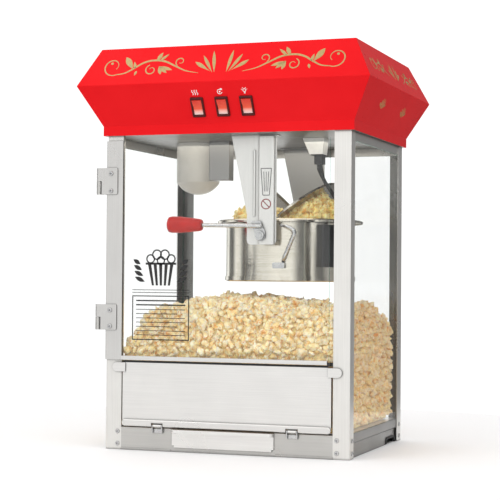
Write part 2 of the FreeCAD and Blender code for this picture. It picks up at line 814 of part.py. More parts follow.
def lid(side, raise_angle):
    """A half-moon lid with a rolled rim, hung on its hinge rod and shown raised."""
    axis_x = kettle_x + side * lid_axis_offset
    thick = 1.2
    low = lid_axis_z - 3.4
    disc = rod((kettle_x, kettle_y, low), (kettle_x, kettle_y, low + thick), lid_radius)
    ring = pipe((kettle_x, kettle_y, low), (kettle_x, kettle_y, low + 4), lid_radius, lid_radius - 1.5)
    window_x = sorted((axis_x + side * 0.01, kettle_x + side * 200))
    window = box(window_x, (kettle_y - 200, kettle_y + 200), (low - 1, low + 10))
    shape = join(disc, ring).common(window)
    for start, end in ((lid_lugs_y[0], lid_lugs_y[1]), (lid_lugs_y[1], lid_lugs_y[2])):
        first = start + lid_lug_half + 0.6
        last = end - lid_lug_half - 0.6
        knuckle = rod((axis_x, first, lid_axis_z), (axis_x, last, lid_axis_z), 3.4)
        shape = join(shape, knuckle)
    relief_low = lid_axis_z - 5
    for y in lid_lugs_y:
        relief_x = sorted((axis_x - side * 5, axis_x + side * 5))
        relief_y = (y - lid_lug_half - 0.6, y + lid_lug_half + 0.6)
        shape = shape.cut(box(relief_x, relief_y, (relief_low, relief_low + 12)))
    bore = rod((axis_x, kettle_y - 130, lid_axis_z), (axis_x, kettle_y + 130, lid_axis_z), 1.95)
    shape = shape.cut(bore)
    for end in (-1, 1):
        tip_y = sorted((kettle_y + end * 80.0, kettle_y + end * 120.0))
        shape = shape.cut(box(sorted((axis_x - side * 5, axis_x + side * 5)), tip_y, (low - 1, low + 8)))
    shape.rotate(V(axis_x, 0, lid_axis_z), Y_AXIS, -side * raise_angle)
    return shape


def handle_crank():
    """Crank plate on the front pivot pin with the rod that carries the grip."""
    plate_back = -156.5
    plate_front = -159.0
    outline = [(38, 433), (57, 433), (66, 412), (66, 401), (58, 396), (49, 399)]
    plate = prism([(x, plate_back, z) for x, z in outline], (0, plate_front - plate_back, 0))
    plate = rounded(plate, 2.5, lambda m, run: lying_on_y(run))
    hub = rod((pivot_x, plate_back, pivot_z), (pivot_x, -164.0, pivot_z), 8.5)
    bar_y = plate_front - 4.0
    bar = rod((-118, bar_y, 426.6), (60, bar_y, 423.4), 4.0)
    bore = rod((pivot_x, -150, pivot_z), (pivot_x, -170, pivot_z), pivot_radius)
    return join(plate, hub, bar).cut(bore)


def handle_grip():
    """Turned grip, thicker towards its end."""
    length = 68.0
    profile = [(0, 0), (11.0, 0), (14.6, 2.2), (15.75, 8), (15.4, 24), (13.2, 48), (11.8, 62), (10.2, 67), (8.0, length)]
    corners = [V(r, 0, d) for r, d in profile] + [V(0, 0, length)]
    face = Part.Face(Part.makePolygon(corners + corners[:1]))
    grip = face.revolve(V(0, 0, 0), Z_AXIS, 360)
    direction = V(178, 0, -3.2)
    direction.normalize()
    grip.Placement = FreeCAD.Placement(V(-126, -163.0, 426.75), FreeCAD.Rotation(Z_AXIS, direction))
    return grip.cut(rod((-118, -163.0, 426.6), (60, -163.0, 423.4), 4.0))


def kettle_brace():
    """Bent rod behind the front hanger that ties the brim side of the kettle to its wall."""
    top_bends = [(82, -108, 428), (86, -127, 427), (100, -136, 424), (119, -137, 416)]
    bends = top_bends + [(104, -128, 388), (90, -121, 362), (85, -104, 352)]
    bar = round_bar(bends, 3.8)
    foot = box((68, 92), (-122, -104), (345, 356))
    foot = rounded(foot, 3.0, lambda m, run: lying_on_y(run))
    return join(bar, foot).cut(kettle_wall_block())


def around_kettle(angle, radius, z):
    """A point at an angle from the front towards the right, seen from above."""
    turn = math.radians(angle)
    return (kettle_x + radius * math.sin(turn), kettle_y - radius * math.cos(turn), z)


def terminal_box():
    """Cover over the heater's terminals, curved to the wall, with an elbow for the lead."""
    middle = 54.0
    block = box((-26, 26), (-kettle_radius - 13.5, -kettle_radius + 20), (348, 428))
    block = rounded(block, 4.0, lambda m, run: upright(run) and m.y < -kettle_radius - 13)
    block.rotate(V(0, 0, 0), Z_AXIS, middle)
    block.translate(V(kettle_x, kettle_y, 0))
    lead_end = V(*lead_route[-1])
    toward = V(kettle_x - lead_end.x, kettle_y - lead_end.y, 0).normalize()
    inside = lead_end + toward * 22
    elbow_low = 402.0
    upright_part = rod((lead_end.x, lead_end.y, elbow_low), tuple(lead_end), 6.5)
    ball = Part.makeSphere(6.5, V(lead_end.x, lead_end.y, elbow_low))
    neck = rod((lead_end.x, lead_end.y, elbow_low), (inside.x, inside.y, elbow_low), 6.5)
    return join(block, upright_part, ball, neck).cut(kettle_wall_block())


# ---------------------------------------------------------------- small fasteners on the frame
def frame_screws():
    """Screws that hold the base to the front posts, on their front and side faces."""
    screws = []
    for side in (-1, 1):
        for z in (11.0, 34.0):
            screws.append(pan_head_screw((side * 216.5, -half_depth, z), (0, -1, 0), 4.0, 2.0, 4.0))
            screws.append(pan_head_screw((side * half_width, -175.0, z - 1.0), (side, 0, 0), 4.0, 2.0, 4.0))
            screws.append(pan_head_screw((side * half_width, 176.0, z - 1.0), (side, 0, 0), 4.0, 2.0, 4.0))
    return group(screws)


# ---------------------------------------------------------------- all nodes
def all_nodes():
    nodes = {}
    right_front = front_post()
    base_screws = frame_screws()
    door_screws = hinge_screws()
    nodes["front_posts"] = drilled(group([right_front, mirrored(right_front)]), base_screws)
    right_rear = rear_post()
    nodes["rear_posts"] = drilled(group([right_rear, mirrored(right_rear)]), base_screws)
    nodes["base_front_strip"] = base_front_strip()
    nodes["base_rear_strip"] = box((-inner_x + 4.5, inner_x - 4.5), (inner_y - sheet, inner_y), (0, base_height))
    nodes["base_side_left"] = drilled(mirrored(base_side(False)), base_screws)
    nodes["base_side_right"] = drilled(base_side(True), base_screws)
    base_pan = box((-inner_x + 4.5, inner_x - 4.5), (-inner_y, inner_y - sheet), (0, base_thick))
    nodes["base_plate"] = base_pan.cut(nodes["front_posts"])
    nodes["deck_plate"] = deck_plate()
    nodes["drawer_runners"] = group([drawer_runner(-1), drawer_runner(1)])
    nodes["top_rails"] = top_rails()
    reach_x = lip[0] / 2 - sheet
    reach_y = lip[1] / 2 - sheet
    nodes["ceiling_plate"] = box((-reach_x, reach_x), (-reach_y, reach_y), (lip_bottom, lip_bottom + sheet))
    nodes["canopy_shell"] = canopy_shell()
    nodes["canopy_top"] = canopy_top()
    nodes["hanger_front"] = hanger(hanger_front_y, -1)
    nodes["hanger_rear"] = hanger(hanger_rear_y, 1)
    nodes["pivot_bushes"] = group([pivot_bush(hanger_front_y, -1), pivot_bush(hanger_rear_y, 1)])
    nodes["lamp_cup"] = lamp_cup()
    nodes["lamp_bulb"] = lamp_bulb()
    nodes["lamp_socket"] = lamp_socket()
    nodes["wiring_box"] = wiring_box()
    nodes["outlet_bracket"] = outlet_bracket()
    nodes["outlet_socket"] = outlet_socket()
    nodes["kettle_plug"] = kettle_plug()
    right_pane = box((inner_x - glass, inner_x), (-inner_y, inner_y - glass), (base_height, glass_top))
    nodes["side_glass"] = group([right_pane, mirrored(right_pane)])
    nodes["rear_glass"] = box((-inner_x + glass, inner_x - glass), (inner_y - glass, inner_y), (base_height, glass_top))
    nodes["hinge_leaves_fixed"] = group([fixed_hinge_leaf(span) for span in hinge_spans])
    nodes["hinge_pins"] = group([hinge_pin(span) for span in hinge_spans])
    nodes["frame_screws"] = base_screws
    nodes["panel_hinge_brackets"] = group([panel_hinge_bracket(s * panel_hinge_x) for s in (-1, 1)])
    nodes["door_magnet"] = door_magnet()
    nodes["cord_grommet"] = cord_grommet()
    frames = [switch_frame(index) for index in range(switch_count)]
    nodes["switch_bezels"] = group([placed(switch_bezel(), frame) for frame in frames])
    nodes["door_glass"] = door_glass()
    nodes["door_stile"] = drilled(door_stile(), door_screws)
    nodes["door_bottom_channel"] = door_bottom_channel()
    nodes["hinge_leaves_door"] = drilled(group([door_hinge_leaf(span) for span in hinge_spans]), door_screws)
    nodes["hinge_screws"] = door_screws
    nodes["door_strike"] = door_strike()
    nodes["drop_panel"] = drop_panel()
    nodes["panel_hem"] = panel_hem()
    nodes["drawer_tray"] = drawer_tray()
    nodes["drawer_front"] = drawer_front()
    nodes["kettle_shell"] = kettle_shell()
    nodes["kettle_pan"] = kettle_pan()
    nodes["kettle_base"] = kettle_base()
    nodes["kettle_heater"] = kettle_heater()
    nodes["stir_motor"] = stir_motor()
    nodes["trunnion_pins"] = trunnion_pins()
    nodes["lid_crossbar"] = lid_crossbar()
    nodes["handle_crank"] = handle_crank()
    nodes["handle_grip"] = handle_grip()
    nodes["kettle_brace"] = kettle_brace()
    nodes["terminal_box"] = terminal_box()
    nodes["kettle_lead"] = round_bar(lead_route, lead_radius, True)
    nodes["lid_left"] = lid(-1, lid_left_raise)
    nodes["lid_right"] = lid(1, lid_right_raise)
    nodes["stirrer"] = stirrer()
    for index, frame in enumerate(frames):
        nodes[f"rocker_{index + 1}"] = placed(rocker_cap(), frame)
    return nodes


def main():
    os.makedirs("parts", exist_ok=True)
    for name, shape in all_nodes().items():
        if not shape.isValid() or not shape.Solids:
            print("check", name, "valid", shape.isValid(), "solids", len(shape.Solids))
        shape.exportStep(f"parts/{name}.step")
    for index in range(switch_count):
        frame = switch_frame(index)
        print("switch", index + 1, "centre", frame.Base, "across", frame.Rotation.multVec(X_AXIS))


main()
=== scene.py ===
"""Looks of the countertop popcorn machine: finishes, ornaments, the kettle's lead and the popcorn."""

from itertools import product
from math import cos, hypot, log, pi, radians, sin

import bmesh
import bpy
import numpy as np
from mathutils import Matrix, Vector


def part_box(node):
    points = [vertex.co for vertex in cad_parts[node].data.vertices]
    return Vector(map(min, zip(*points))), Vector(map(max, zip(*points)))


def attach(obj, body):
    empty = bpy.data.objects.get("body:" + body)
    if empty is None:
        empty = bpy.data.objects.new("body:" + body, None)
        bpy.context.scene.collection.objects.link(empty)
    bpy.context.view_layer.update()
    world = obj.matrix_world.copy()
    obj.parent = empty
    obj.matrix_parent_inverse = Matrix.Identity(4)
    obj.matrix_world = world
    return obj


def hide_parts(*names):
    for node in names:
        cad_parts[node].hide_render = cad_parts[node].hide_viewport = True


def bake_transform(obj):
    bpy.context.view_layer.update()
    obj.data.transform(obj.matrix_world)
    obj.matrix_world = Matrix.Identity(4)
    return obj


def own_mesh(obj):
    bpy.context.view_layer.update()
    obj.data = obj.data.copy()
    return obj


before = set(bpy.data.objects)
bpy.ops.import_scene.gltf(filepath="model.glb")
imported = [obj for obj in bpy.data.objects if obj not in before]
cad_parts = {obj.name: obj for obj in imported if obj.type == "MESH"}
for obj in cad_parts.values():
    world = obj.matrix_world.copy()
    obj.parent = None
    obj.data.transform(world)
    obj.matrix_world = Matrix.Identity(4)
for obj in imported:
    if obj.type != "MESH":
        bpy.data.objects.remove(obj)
bpy.context.view_layer.update()

MM = 0.001


def mm(*values):
    """A point given in millimetres, in metres."""
    return Vector([v * MM for v in values])


# ---- materials


class Nodes:
    """The node tree of a material or of the world, in the making."""

    def __init__(self, owner):
        owner.use_nodes = True
        self.tree = owner.node_tree
        self.tree.nodes.clear()

    def node(self, kind, inputs=None, **attributes):
        """A node with some inputs fed and some attributes set."""
        made = self.tree.nodes.new("ShaderNode" + kind)
        for name, value in attributes.items():
            setattr(made, name, value)
        for name, value in (inputs or {}).items():
            self.feed(made.inputs[name], value)
        return made

    def feed(self, socket, value):
        if isinstance(value, bpy.types.NodeSocket):
            self.tree.links.new(value, socket)
        else:
            socket.default_value = value

    def remap(self, value, low, high, to_low=0.0, to_high=1.0):
        """The value, with the range from low to high brought to another range and held there."""
        given, wanted = {"From Min": low, "From Max": high}, {"To Min": to_low, "To Max": to_high}
        return self.node("MapRange", {"Value": value, **given, **wanted}).outputs[0]

    def ramp(self, value, *stops):
        """A colour that follows value through (position, colour) stops."""
        made = self.node("ValToRGB", {"Fac": value})
        elements = made.color_ramp.elements
        for element, (position, colour) in zip(elements, (stops[0], stops[-1])):
            element.position = position
            element.color = (*colour, 1.0)
        for position, colour in stops[1:-1]:
            elements.new(position).color = (*colour, 1.0)
        return made.outputs["Color"]

    def mix(self, factor, a, b, blend="MIX"):
        """Colour a turning into b."""
        made = self.node("Mix", data_type="RGBA", blend_type=blend)
        for socket, value in zip((made.inputs[0], made.inputs[6], made.inputs[7]), (factor, a, b)):
            self.feed(socket, value)
        return made.outputs[2]

    def math(self, operation, a, b):
        return self.node("Math", {0: a, 1: b}, operation=operation).outputs[0]

    def axis(self, vector, name):
        """The X, Y or Z of a vector."""
        return self.node("SeparateXYZ", {"Vector": vector}).outputs[name]


class Look(Nodes):
    """A material in the making: its surface shader and the nodes that feed it."""

    def __init__(self, name, shader="BsdfPrincipled"):
        self.material = bpy.data.materials.new(name)
        super().__init__(self.material)
        self.shader = self.node(shader)
        self.node("OutputMaterial", {"Surface": self.shader.outputs[0]})
        self.object_place = self.node("TexCoord").outputs["Object"]

    def set(self, **sockets):
        """Feeds the shader's sockets; an underscore in a name stands for a space."""
        for name, value in sockets.items():
            self.feed(self.shader.inputs[name.replace("_", " ")], value)
        return self.material

    def join(self, share, first, second):
        """Feeds a mix shader at the surface: share is how much of the second shader shows."""
        for socket, value in zip(self.shader.inputs, (share, first.outputs[0], second.outputs[0])):
            self.feed(socket, value)
        return self.material

    def noise(self, size, stretch=(1, 1, 1), detail=3.0, roughness=0.55, distortion=0.0):
        """Noise with features of about size metres, drawn out along the axes by stretch."""
        scale = [1.0 / (size * s) for s in stretch]
        place = self.node("Mapping", {"Vector": self.object_place, "Scale": scale})
        settings = {"Vector": place.outputs[0], "Scale": 1.0}
        settings |= {"Detail": detail, "Roughness": roughness, "Distortion": distortion}
        return self.node("TexNoise", settings).outputs[0]

    def cells(self, size):
        """Softened distance to the nearest of points strewn about size metres apart."""
        settings = {"Vector": self.object_place, "Scale": 1.0 / size}
        return self.node("TexVoronoi", settings, feature="SMOOTH_F1").outputs["Distance"]

    def painted_crease_shade(self, colour, reach=0.006):
        """The colour with painted shade: darkened in seams and inner corners by what lies within reach
        metres.
        """
        openness = self.node("AmbientOcclusion", {"Distance": reach}, samples=8).outputs["AO"]
        # Painted shade: ambient occlusion darkens the colour where parts crowd together.
        return self.mix(1.0, colour, self.remap(openness, 0.35, 0.9, 0.25, 1.0), "MULTIPLY")

    def bump(self, height, distance, strength, under=None):
        """A relief of distance metres; under is another relief that it adds to."""
        settings = {"Height": height, "Distance": distance, "Strength": strength}
        if under is not None:
            settings["Normal"] = under
        return self.node("Bump", settings).outputs[0]


def shade(colour, factor):
    """The colour made darker or lighter by a factor."""
    return tuple(min(1.0, c * factor) for c in colour)


def steel(name, grain, colour, roughness, contrast, metallic):
    """Brushed sheet: fine grain along one axis, cloudy tone, painted shade in its seams and inner
    corners, and smudges that dull the gloss.
    """
    look = Look(name)
    hair = look.noise(0.0016, [70 if axis == grain else 1 for axis in "xyz"], detail=1.0)
    cloud = look.noise(0.09)
    smudge = look.noise(0.12, detail=1.0)
    tone = look.math("MULTIPLY", look.math("ADD", hair, cloud), 0.5)
    brushed = look.ramp(tone, (0.32, shade(colour, 1 - contrast)), (0.68, shade(colour, 1 + contrast)))
    return look.set(
        # Painted shade in seams and inner corners darkens the brushed tone.
        Base_Color=look.painted_crease_shade(brushed),
        Metallic=metallic,
        Roughness=look.remap(smudge, 0.3, 0.75, roughness - 0.04, roughness + 0.08),
        Normal=look.bump(hair, 0.000006, 0.4),
    )


def kettle_steel(name, brightness=1.0):
    """Polished and spun steel: rings of the lathe, tea-coloured heat marks in vertical streaks that are
    also painted reflection streaks, and drips of oil.
    """
    look = Look(name)
    ring = look.noise(0.0012, (60, 60, 1), detail=2.0)
    heat_tint_and_painted_streaks = look.noise(0.03, (1, 1, 2.4), detail=5.0, distortion=0.8)
    drip = look.noise(0.010, (1, 1, 9))
    dull, bright = shade((0.66, 0.62, 0.53), brightness), shade((0.76, 0.72, 0.64), brightness)
    clean = look.ramp(ring, (0.3, dull), (0.7, bright))
    # Heat tint in vertical streaks, which also stand in for painted reflection streaks.
    marked = look.mix(look.remap(heat_tint_and_painted_streaks, 0.55, 0.78, 0.0, 0.38), clean, (0.46, 0.39, 0.28, 1))
    return look.set(
        Base_Color=marked,
        Metallic=1.0,
        Roughness=look.remap(drip, 0.35, 0.7, 0.10, 0.20),
        Anisotropic=0.45,
        Normal=look.bump(ring, 0.00002, 0.5),
    )


def plated_steel():
    """Zinc-plated turned and bent parts, with a faint bluish bloom and painted shade in their seams."""
    look = Look("zinc_plate")
    bloom = look.noise(0.008, detail=4.0)
    turned = look.noise(0.0007, detail=2.0)
    plating = look.ramp(bloom, (0.35, (0.50, 0.50, 0.51)), (0.7, (0.62, 0.62, 0.61)))
    return look.set(
        # Painted shade in seams and inner corners darkens the plating.
        Base_Color=look.painted_crease_shade(plating, 0.004),
        Metallic=1.0,
        Roughness=look.remap(bloom, 0.3, 0.7, 0.20, 0.30),
        Normal=look.bump(turned, 0.000004, 0.3),
    )


def red_paint():
    """Glossy powder coat: a slight flow in the surface, and a film of dust on what faces up."""
    look = Look("red_powder_coat")
    flow = look.noise(0.0035, detail=2.0)
    cloud = look.noise(0.12)
    dust = look.noise(0.02, detail=6.0, roughness=0.7)
    paint = look.ramp(cloud, (0.3, (0.75, 0.009, 0.013)), (0.7, (0.81, 0.012, 0.016)))
    up = look.axis(look.node("NewGeometry").outputs["Normal"], "Z")
    flat = look.remap(up, 0.75, 1.0)
    film = look.math("MULTIPLY", flat, look.remap(dust, 0.40, 0.80, 0.01, 0.05))
    return look.set(
        Base_Color=look.mix(film, paint, (0.55, 0.45, 0.42, 1)),
        Roughness=look.remap(dust, 0.3, 0.8, 0.27, 0.33),
        Specular_IOR_Level=0.045,
        Normal=look.bump(flow, 0.00003, 0.4),
    )


def white_enamel():
    """Painted sheet with a fine orange peel and slight soiling."""
    look = Look("white_enamel")
    colour = (0.84, 0.83, 0.79)
    peel = look.noise(0.0018, detail=2.0)
    soil = look.noise(0.03, detail=5.0, roughness=0.62)
    return look.set(
        Base_Color=look.ramp(soil, (0.35, shade(colour, 0.88)), (0.65, shade(colour, 1.04))),
        Roughness=look.remap(soil, 0.3, 0.7, 0.50, 0.36),
        Normal=look.bump(peel, 0.00003, 0.5),
    )


def moulded(name, colour, roughness, grain, depth, metallic, specular):
    """Moulded plastic or rubber: an even skin texture, and rubbed places that shine a little more."""
    look = Look(name)
    skin = look.noise(grain, detail=1.0)
    wear = look.noise(0.012, detail=4.0)
    return look.set(
        Base_Color=look.ramp(wear, (0.3, shade(colour, 0.85)), (0.75, shade(colour, 1.25))),
        Roughness=look.remap(wear, 0.3, 0.7, roughness + 0.07, roughness - 0.07),
        Metallic=metallic,
        Specular_IOR_Level=specular,
        Normal=look.bump(skin, depth, 0.6),
    )


# Lowest and highest point of the rockers, in metres.
ROCKER_LEVELS = (0.630, 0.6555)


def rocker_plastic():
    """Clear red plastic over a small lamp: brightest at its lower end."""
    look = Look("rocker_plastic")
    cloud = look.noise(0.006, detail=2.0)
    level = look.remap(look.axis(look.object_place, "Z"), *ROCKER_LEVELS)
    glow = look.ramp(
        level,
        (0.0, (0.92, 0.70, 0.66)),
        (0.18, (0.90, 0.45, 0.38)),
        (0.36, (0.80, 0.09, 0.04)),
        (1.0, (0.62, 0.016, 0.012)),
    )
    return look.set(
        Base_Color=look.mix(look.remap(cloud, 0.3, 0.7, 0.0, 0.12), glow, (1.0, 0.2, 0.1, 1)),
        Roughness=look.remap(cloud, 0.3, 0.7, 0.16, 0.26),
        Emission_Color=glow,
        Emission_Strength=0.08,
        Coat_Weight=0.15,
        Coat_Roughness=0.08,
        Specular_IOR_Level=0.25,
        Normal=look.bump(cloud, 0.00005, 0.4),
    )


def glass_pane(name, across):
    """Float glass whose faces look along the axis across: green cut edges, patchy greasy film."""
    look = Look(name, "MixShader")
    film = look.noise(0.05, detail=6.0, roughness=0.7, distortion=1.0)
    wipe = look.noise(0.012, (6, 6, 1), detail=4.0)
    facing = look.axis(look.node("TexCoord").outputs["Normal"], across)
    face = look.math("GREATER_THAN", look.math("ABSOLUTE", facing, 0.0), 0.5)
    tint = look.mix(face, (0.42, 0.66, 0.58, 1), (0.992, 0.996, 0.993, 1))
    clear = look.node("BsdfTransparent", {"Color": tint})
    haze = look.node("BsdfDiffuse", {"Color": (0.86, 0.88, 0.86, 1)})
    dirt = look.remap(wipe, 0.3, 0.8, 0.005, 0.03)
    share = look.math("MULTIPLY", look.remap(film, 0.45, 0.8), dirt)
    body = look.node("MixShader", {0: share, 1: clear.outputs[0], 2: haze.outputs[0]})
    greasy = look.remap(film, 0.3, 0.8, 0.01, 0.09)
    gloss = look.node("BsdfGlossy", {"Color": (1, 1, 1, 1), "Roughness": greasy})
    grazing = look.node("LayerWeight", {"Blend": 0.5}).outputs["Facing"]
    mirror = look.remap(look.math("POWER", grazing, 4.0), 0.0, 1.0, 0.018, 0.30)
    return look.join(mirror, body, gloss)


def frosted(name, colour, clearness, glow):
    """Frosted plastic or glass: clearness is the share of light that passes straight through."""
    look = Look(name, "MixShader")
    cloud = look.noise(0.02, detail=4.0)
    grain = look.noise(0.0008, detail=2.0)
    tone = look.ramp(cloud, (0.3, shade(colour, 0.94)), (0.7, colour))
    settings = {
        "Base Color": tone,
        "Roughness": look.remap(cloud, 0.3, 0.7, 0.30, 0.42),
        "Normal": look.bump(grain, 0.00003, 0.5),
        "Emission Color": tone,
        "Emission Strength": glow,
    }
    skin = look.node("BsdfPrincipled", settings)
    through = look.node("BsdfTransparent", {"Color": (*shade(colour, 1.05), 1)})
    share = look.remap(cloud, 0.2, 0.8, clearness - 0.06, clearness + 0.06)
    return look.join(share, skin, through)


def pigment(name, colour, metallic=0.0, roughness=0.45):
    """Screen-printed paint: dense, with a slightly uneven coat."""
    look = Look(name)
    coat = look.noise(0.004, detail=4.0)
    return look.set(
        Base_Color=look.ramp(coat, (0.3, shade(colour, 0.82)), (0.7, shade(colour, 1.12))),
        Metallic=metallic,
        Roughness=look.remap(coat, 0.3, 0.7, roughness - 0.06, roughness + 0.1),
        Normal=look.bump(coat, 0.00002, 0.6),
    )


def popcorn_skin():
    """Popped corn: each flake's own tint, knobbly, with patches of butter, painted shade in its
    creases, a faint painted glow that lifts its shadows, and some toasted spots.
    """
    look = Look("popped_corn")
    tint = look.node("VertexColor", layer_name="tint").outputs["Color"]
    knobs = look.cells(0.0050)
    meal = look.noise(0.0016, roughness=0.6)
    butter = look.noise(0.014, roughness=0.6)
    specks = look.noise(0.0042, roughness=0.7, distortion=0.8)
    # Painted shade: the creases between the knobs turn darker yellow.
    painted_crease_shade = look.mix(look.remap(knobs, 0.45, 0.80, 0.0, 0.50), tint, (0.96, 0.74, 0.32, 1))
    buttered = look.mix(look.remap(butter, 0.46, 0.66, 0.0, 0.60), painted_crease_shade, (0.98, 0.80, 0.38, 1))
    toasted = look.mix(look.remap(specks, 0.575, 0.645, 0.0, 0.92), buttered, (0.72, 0.24, 0.05, 1))
    relief = look.bump(look.math("MULTIPLY", knobs, -1.0), 0.0028, 0.8)
    return look.set(
        Base_Color=toasted,
        Roughness=look.remap(butter, 0.3, 0.7, 0.65, 0.50),
        Specular_IOR_Level=0.25,
        Subsurface_Weight=0.45,
        Subsurface_Radius=(1.0, 0.80, 0.45),
        Subsurface_Scale=0.006,
        # Painted light: a faint warm glow lifts the shadows between the flakes.
        Emission_Color=look.mix(0.5, toasted, (1.0, 0.70, 0.38, 1)),
        Emission_Strength=0.065,
        Normal=look.bump(meal, 0.0003, 0.5, relief),
    )


# Slot: colour, roughness, tone contrast and how metallic its brushed sheet looks.
SHEETS = {
    "frame_steel": ((0.60, 0.59, 0.565), 0.30, 0.06, 0.85),
    "bright_steel": ((0.70, 0.69, 0.67), 0.30, 0.05, 0.80),
    # The ceiling's very dark grey is painted shade under the canopy.
    "ceiling_grey": ((0.20, 0.19, 0.175), 0.34, 0.12, 0.80),
}
GRAIN_ALONG_Z = {
    "front_posts", "rear_posts", "hanger_front", "hanger_rear", "door_stile", "wiring_box",
    "hinge_leaves_fixed", "hinge_leaves_door",
}
GRAIN_ALONG_Y = {"base_side_left", "base_side_right", "drawer_tray", "deck_plate"}


# Slot: a moulded material's name, colour, roughness, grain size and depth, metallic and specular level.
MOULDED = {
    "black_plastic": ("black_plastic", (0.022, 0.022, 0.023), 0.45, 0.0006, 0.00003, 0.0, 0.5),
    "bezel_plastic": ("switch_frame_plastic", (0.075, 0.008, 0.007), 0.42, 0.0006, 0.00003, 0.0, 0.2),
    "grip_red": ("grip_plastic", (0.50, 0.014, 0.010), 0.34, 0.0015, 0.00002, 0.0, 0.22),
    "heater_metal": ("heater_casting", (0.20, 0.19, 0.18), 0.55, 0.0012, 0.0002, 0.6, 0.5),
    "bronze": ("sintered_bronze", (0.50, 0.36, 0.17), 0.42, 0.0005, 0.00005, 0.9, 0.5),
    "rubber": ("black_rubber", (0.020, 0.020, 0.020), 0.62, 0.0010, 0.00006, 0.0, 0.5),
}


def slot_materials():
    """One material for each slot whose look doesn't depend on the node."""
    return {
        "plated_steel": plated_steel(),
        "canopy_red": red_paint(),
        "lamp_plastic": frosted("frosted_cup", (0.74, 0.73, 0.70), 0.50, 0.12),
        "bulb_glass": frosted("bulb_glass", (0.80, 0.78, 0.72), 0.08, 0.15),
        "rocker_red": rocker_plastic(),
        "kettle_steel": kettle_steel("spun_steel"),
        "white_paint": white_enamel(),
        **{slot: moulded(*settings) for slot, settings in MOULDED.items()},
    }


# How much darker or lighter than its slot's sheet a node's steel is painted: painted light and painted
# shade, set part by part.
PAINTED_LIGHT_AND_SHADE = {
    "door_stile": 0.88, "hinge_leaves_door": 0.86, "hinge_leaves_fixed": 0.9,
    "hanger_front": 1.04, "hanger_rear": 0.45, "wiring_box": 0.42,
    "front_posts": 1.24, "rear_posts": 1.3, "drawer_front": 1.13, "drop_panel": 1.06,
    "base_side_left": 0.42, "base_side_right": 0.42, "base_front_strip": 0.88,
}


def sheet_material(slot, node):
    """The brushed sheet of a slot with its grain along the node's length, made darker or lighter by the
    node's painted light and shade.
    """
    grain = "z" if node in GRAIN_ALONG_Z else "y" if node in GRAIN_ALONG_Y else "x"
    # Painted light and shade: the node's whole sheet is made darker or lighter.
    batch = PAINTED_LIGHT_AND_SHADE.get(node, 1.0)
    name = f"{slot}_{grain}_{round(100 * batch)}"
    colour, *character = SHEETS[slot]
    return bpy.data.materials.get(name) or steel(name, grain, shade(colour, batch), *character)


def finish_cad_nodes():
    """Gives each CAD node the finish of its slot, and returns the finishes by slot."""
    by_slot = slot_materials()
    # Painted shade: the lids get a darker copy of the spun steel.
    shaded_lid_steel = kettle_steel("oiled_steel", 0.55)
    panes = {"X": glass_pane("glass_sides", "X"), "Y": glass_pane("glass_front", "Y")}
    for name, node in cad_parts.items():
        for place in node.material_slots:
            slot = place.name.split(".")[0]
            if slot == "pane":
                place.material = panes["X" if name == "side_glass" else "Y"]
            elif name in ("lid_left", "lid_right"):
                place.material = shaded_lid_steel
            elif slot in SHEETS:
                place.material = sheet_material(slot, name)
            else:
                place.material = by_slot[slot]
    return by_slot


# ---- mesh helpers


def add_object(name, data):
    """A new object in the scene."""
    made = bpy.data.objects.new(name, data)
    bpy.context.scene.collection.objects.link(made)
    return made


def add_piece(name, mesh, material, body):
    """A visible piece that rides on a body, or on none yet."""
    piece = add_object(name, mesh)
    mesh.materials.append(material)
    if body:
        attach(piece, body)
    return piece


def mesh_of(name, points, faces, smooth=False):
    """A mesh of points in metres and faces of any number of corners."""
    mesh = bpy.data.meshes.new(name)
    mesh.from_pydata(points, [], faces)
    mesh.update()
    mesh.polygons.foreach_set("use_smooth", [smooth] * len(faces))
    return mesh


def tube(points, radii, sides=24):
    """Points and faces of a closed tube along points, with a radius at each."""
    last = len(points) - 1
    normal = (points[1] - points[0]).orthogonal().normalized()
    rings = []
    for i, centre in enumerate(points):
        along = (points[min(i + 1, last)] - points[max(i - 1, 0)]).normalized()
        normal = (normal - along * normal.dot(along)).normalized()
        side = along.cross(normal)
        for k in range(sides):
            turn = 2 * pi * k / sides
            rings.append(centre + (normal * cos(turn) + side * sin(turn)) * radii[i])
    faces = []
    for first in range(0, last * sides, sides):
        for k in range(sides):
            a, b = first + k, first + (k + 1) % sides
            faces.append((a, b, b + sides, a + sides))
    faces.append(tuple(reversed(range(sides))))
    faces.append(tuple(range(last * sides, (last + 1) * sides)))
    return rings, faces


# ---- the lead of the kettle

LEAD_ROUTE = [
    mm(137, -45, 539), mm(143, -46, 519), mm(157, -49, 499),
    mm(174, -58, 477), mm(187.5, -70.8, 455), mm(187.5, -70.8, 428),
]
LEAD_RADIUS = 3.5 * MM
RELIEF_LENGTH = 20 * MM
RELIEF_STEPS = 40


def smooth_route(route):
    """Points along the smooth NURBS line that the route's points steer."""
    curve = bpy.data.curves.new("lead_route", "CURVE")
    curve.dimensions = "3D"
    spline = curve.splines.new("NURBS")
    spline.points.add(len(route) - 1)
    for point, place in zip(spline.points, route):
        point.co = (*place, 1.0)
    spline.order_u = 3
    spline.use_endpoint_u = True
    spline.resolution_u = 16
    holder = bpy.data.objects.new("lead_route", curve)
    line = bpy.data.meshes.new_from_object(holder)
    points = [v.co.copy() for v in line.vertices]
    bpy.data.objects.remove(holder)
    bpy.data.meshes.remove(line)
    return points


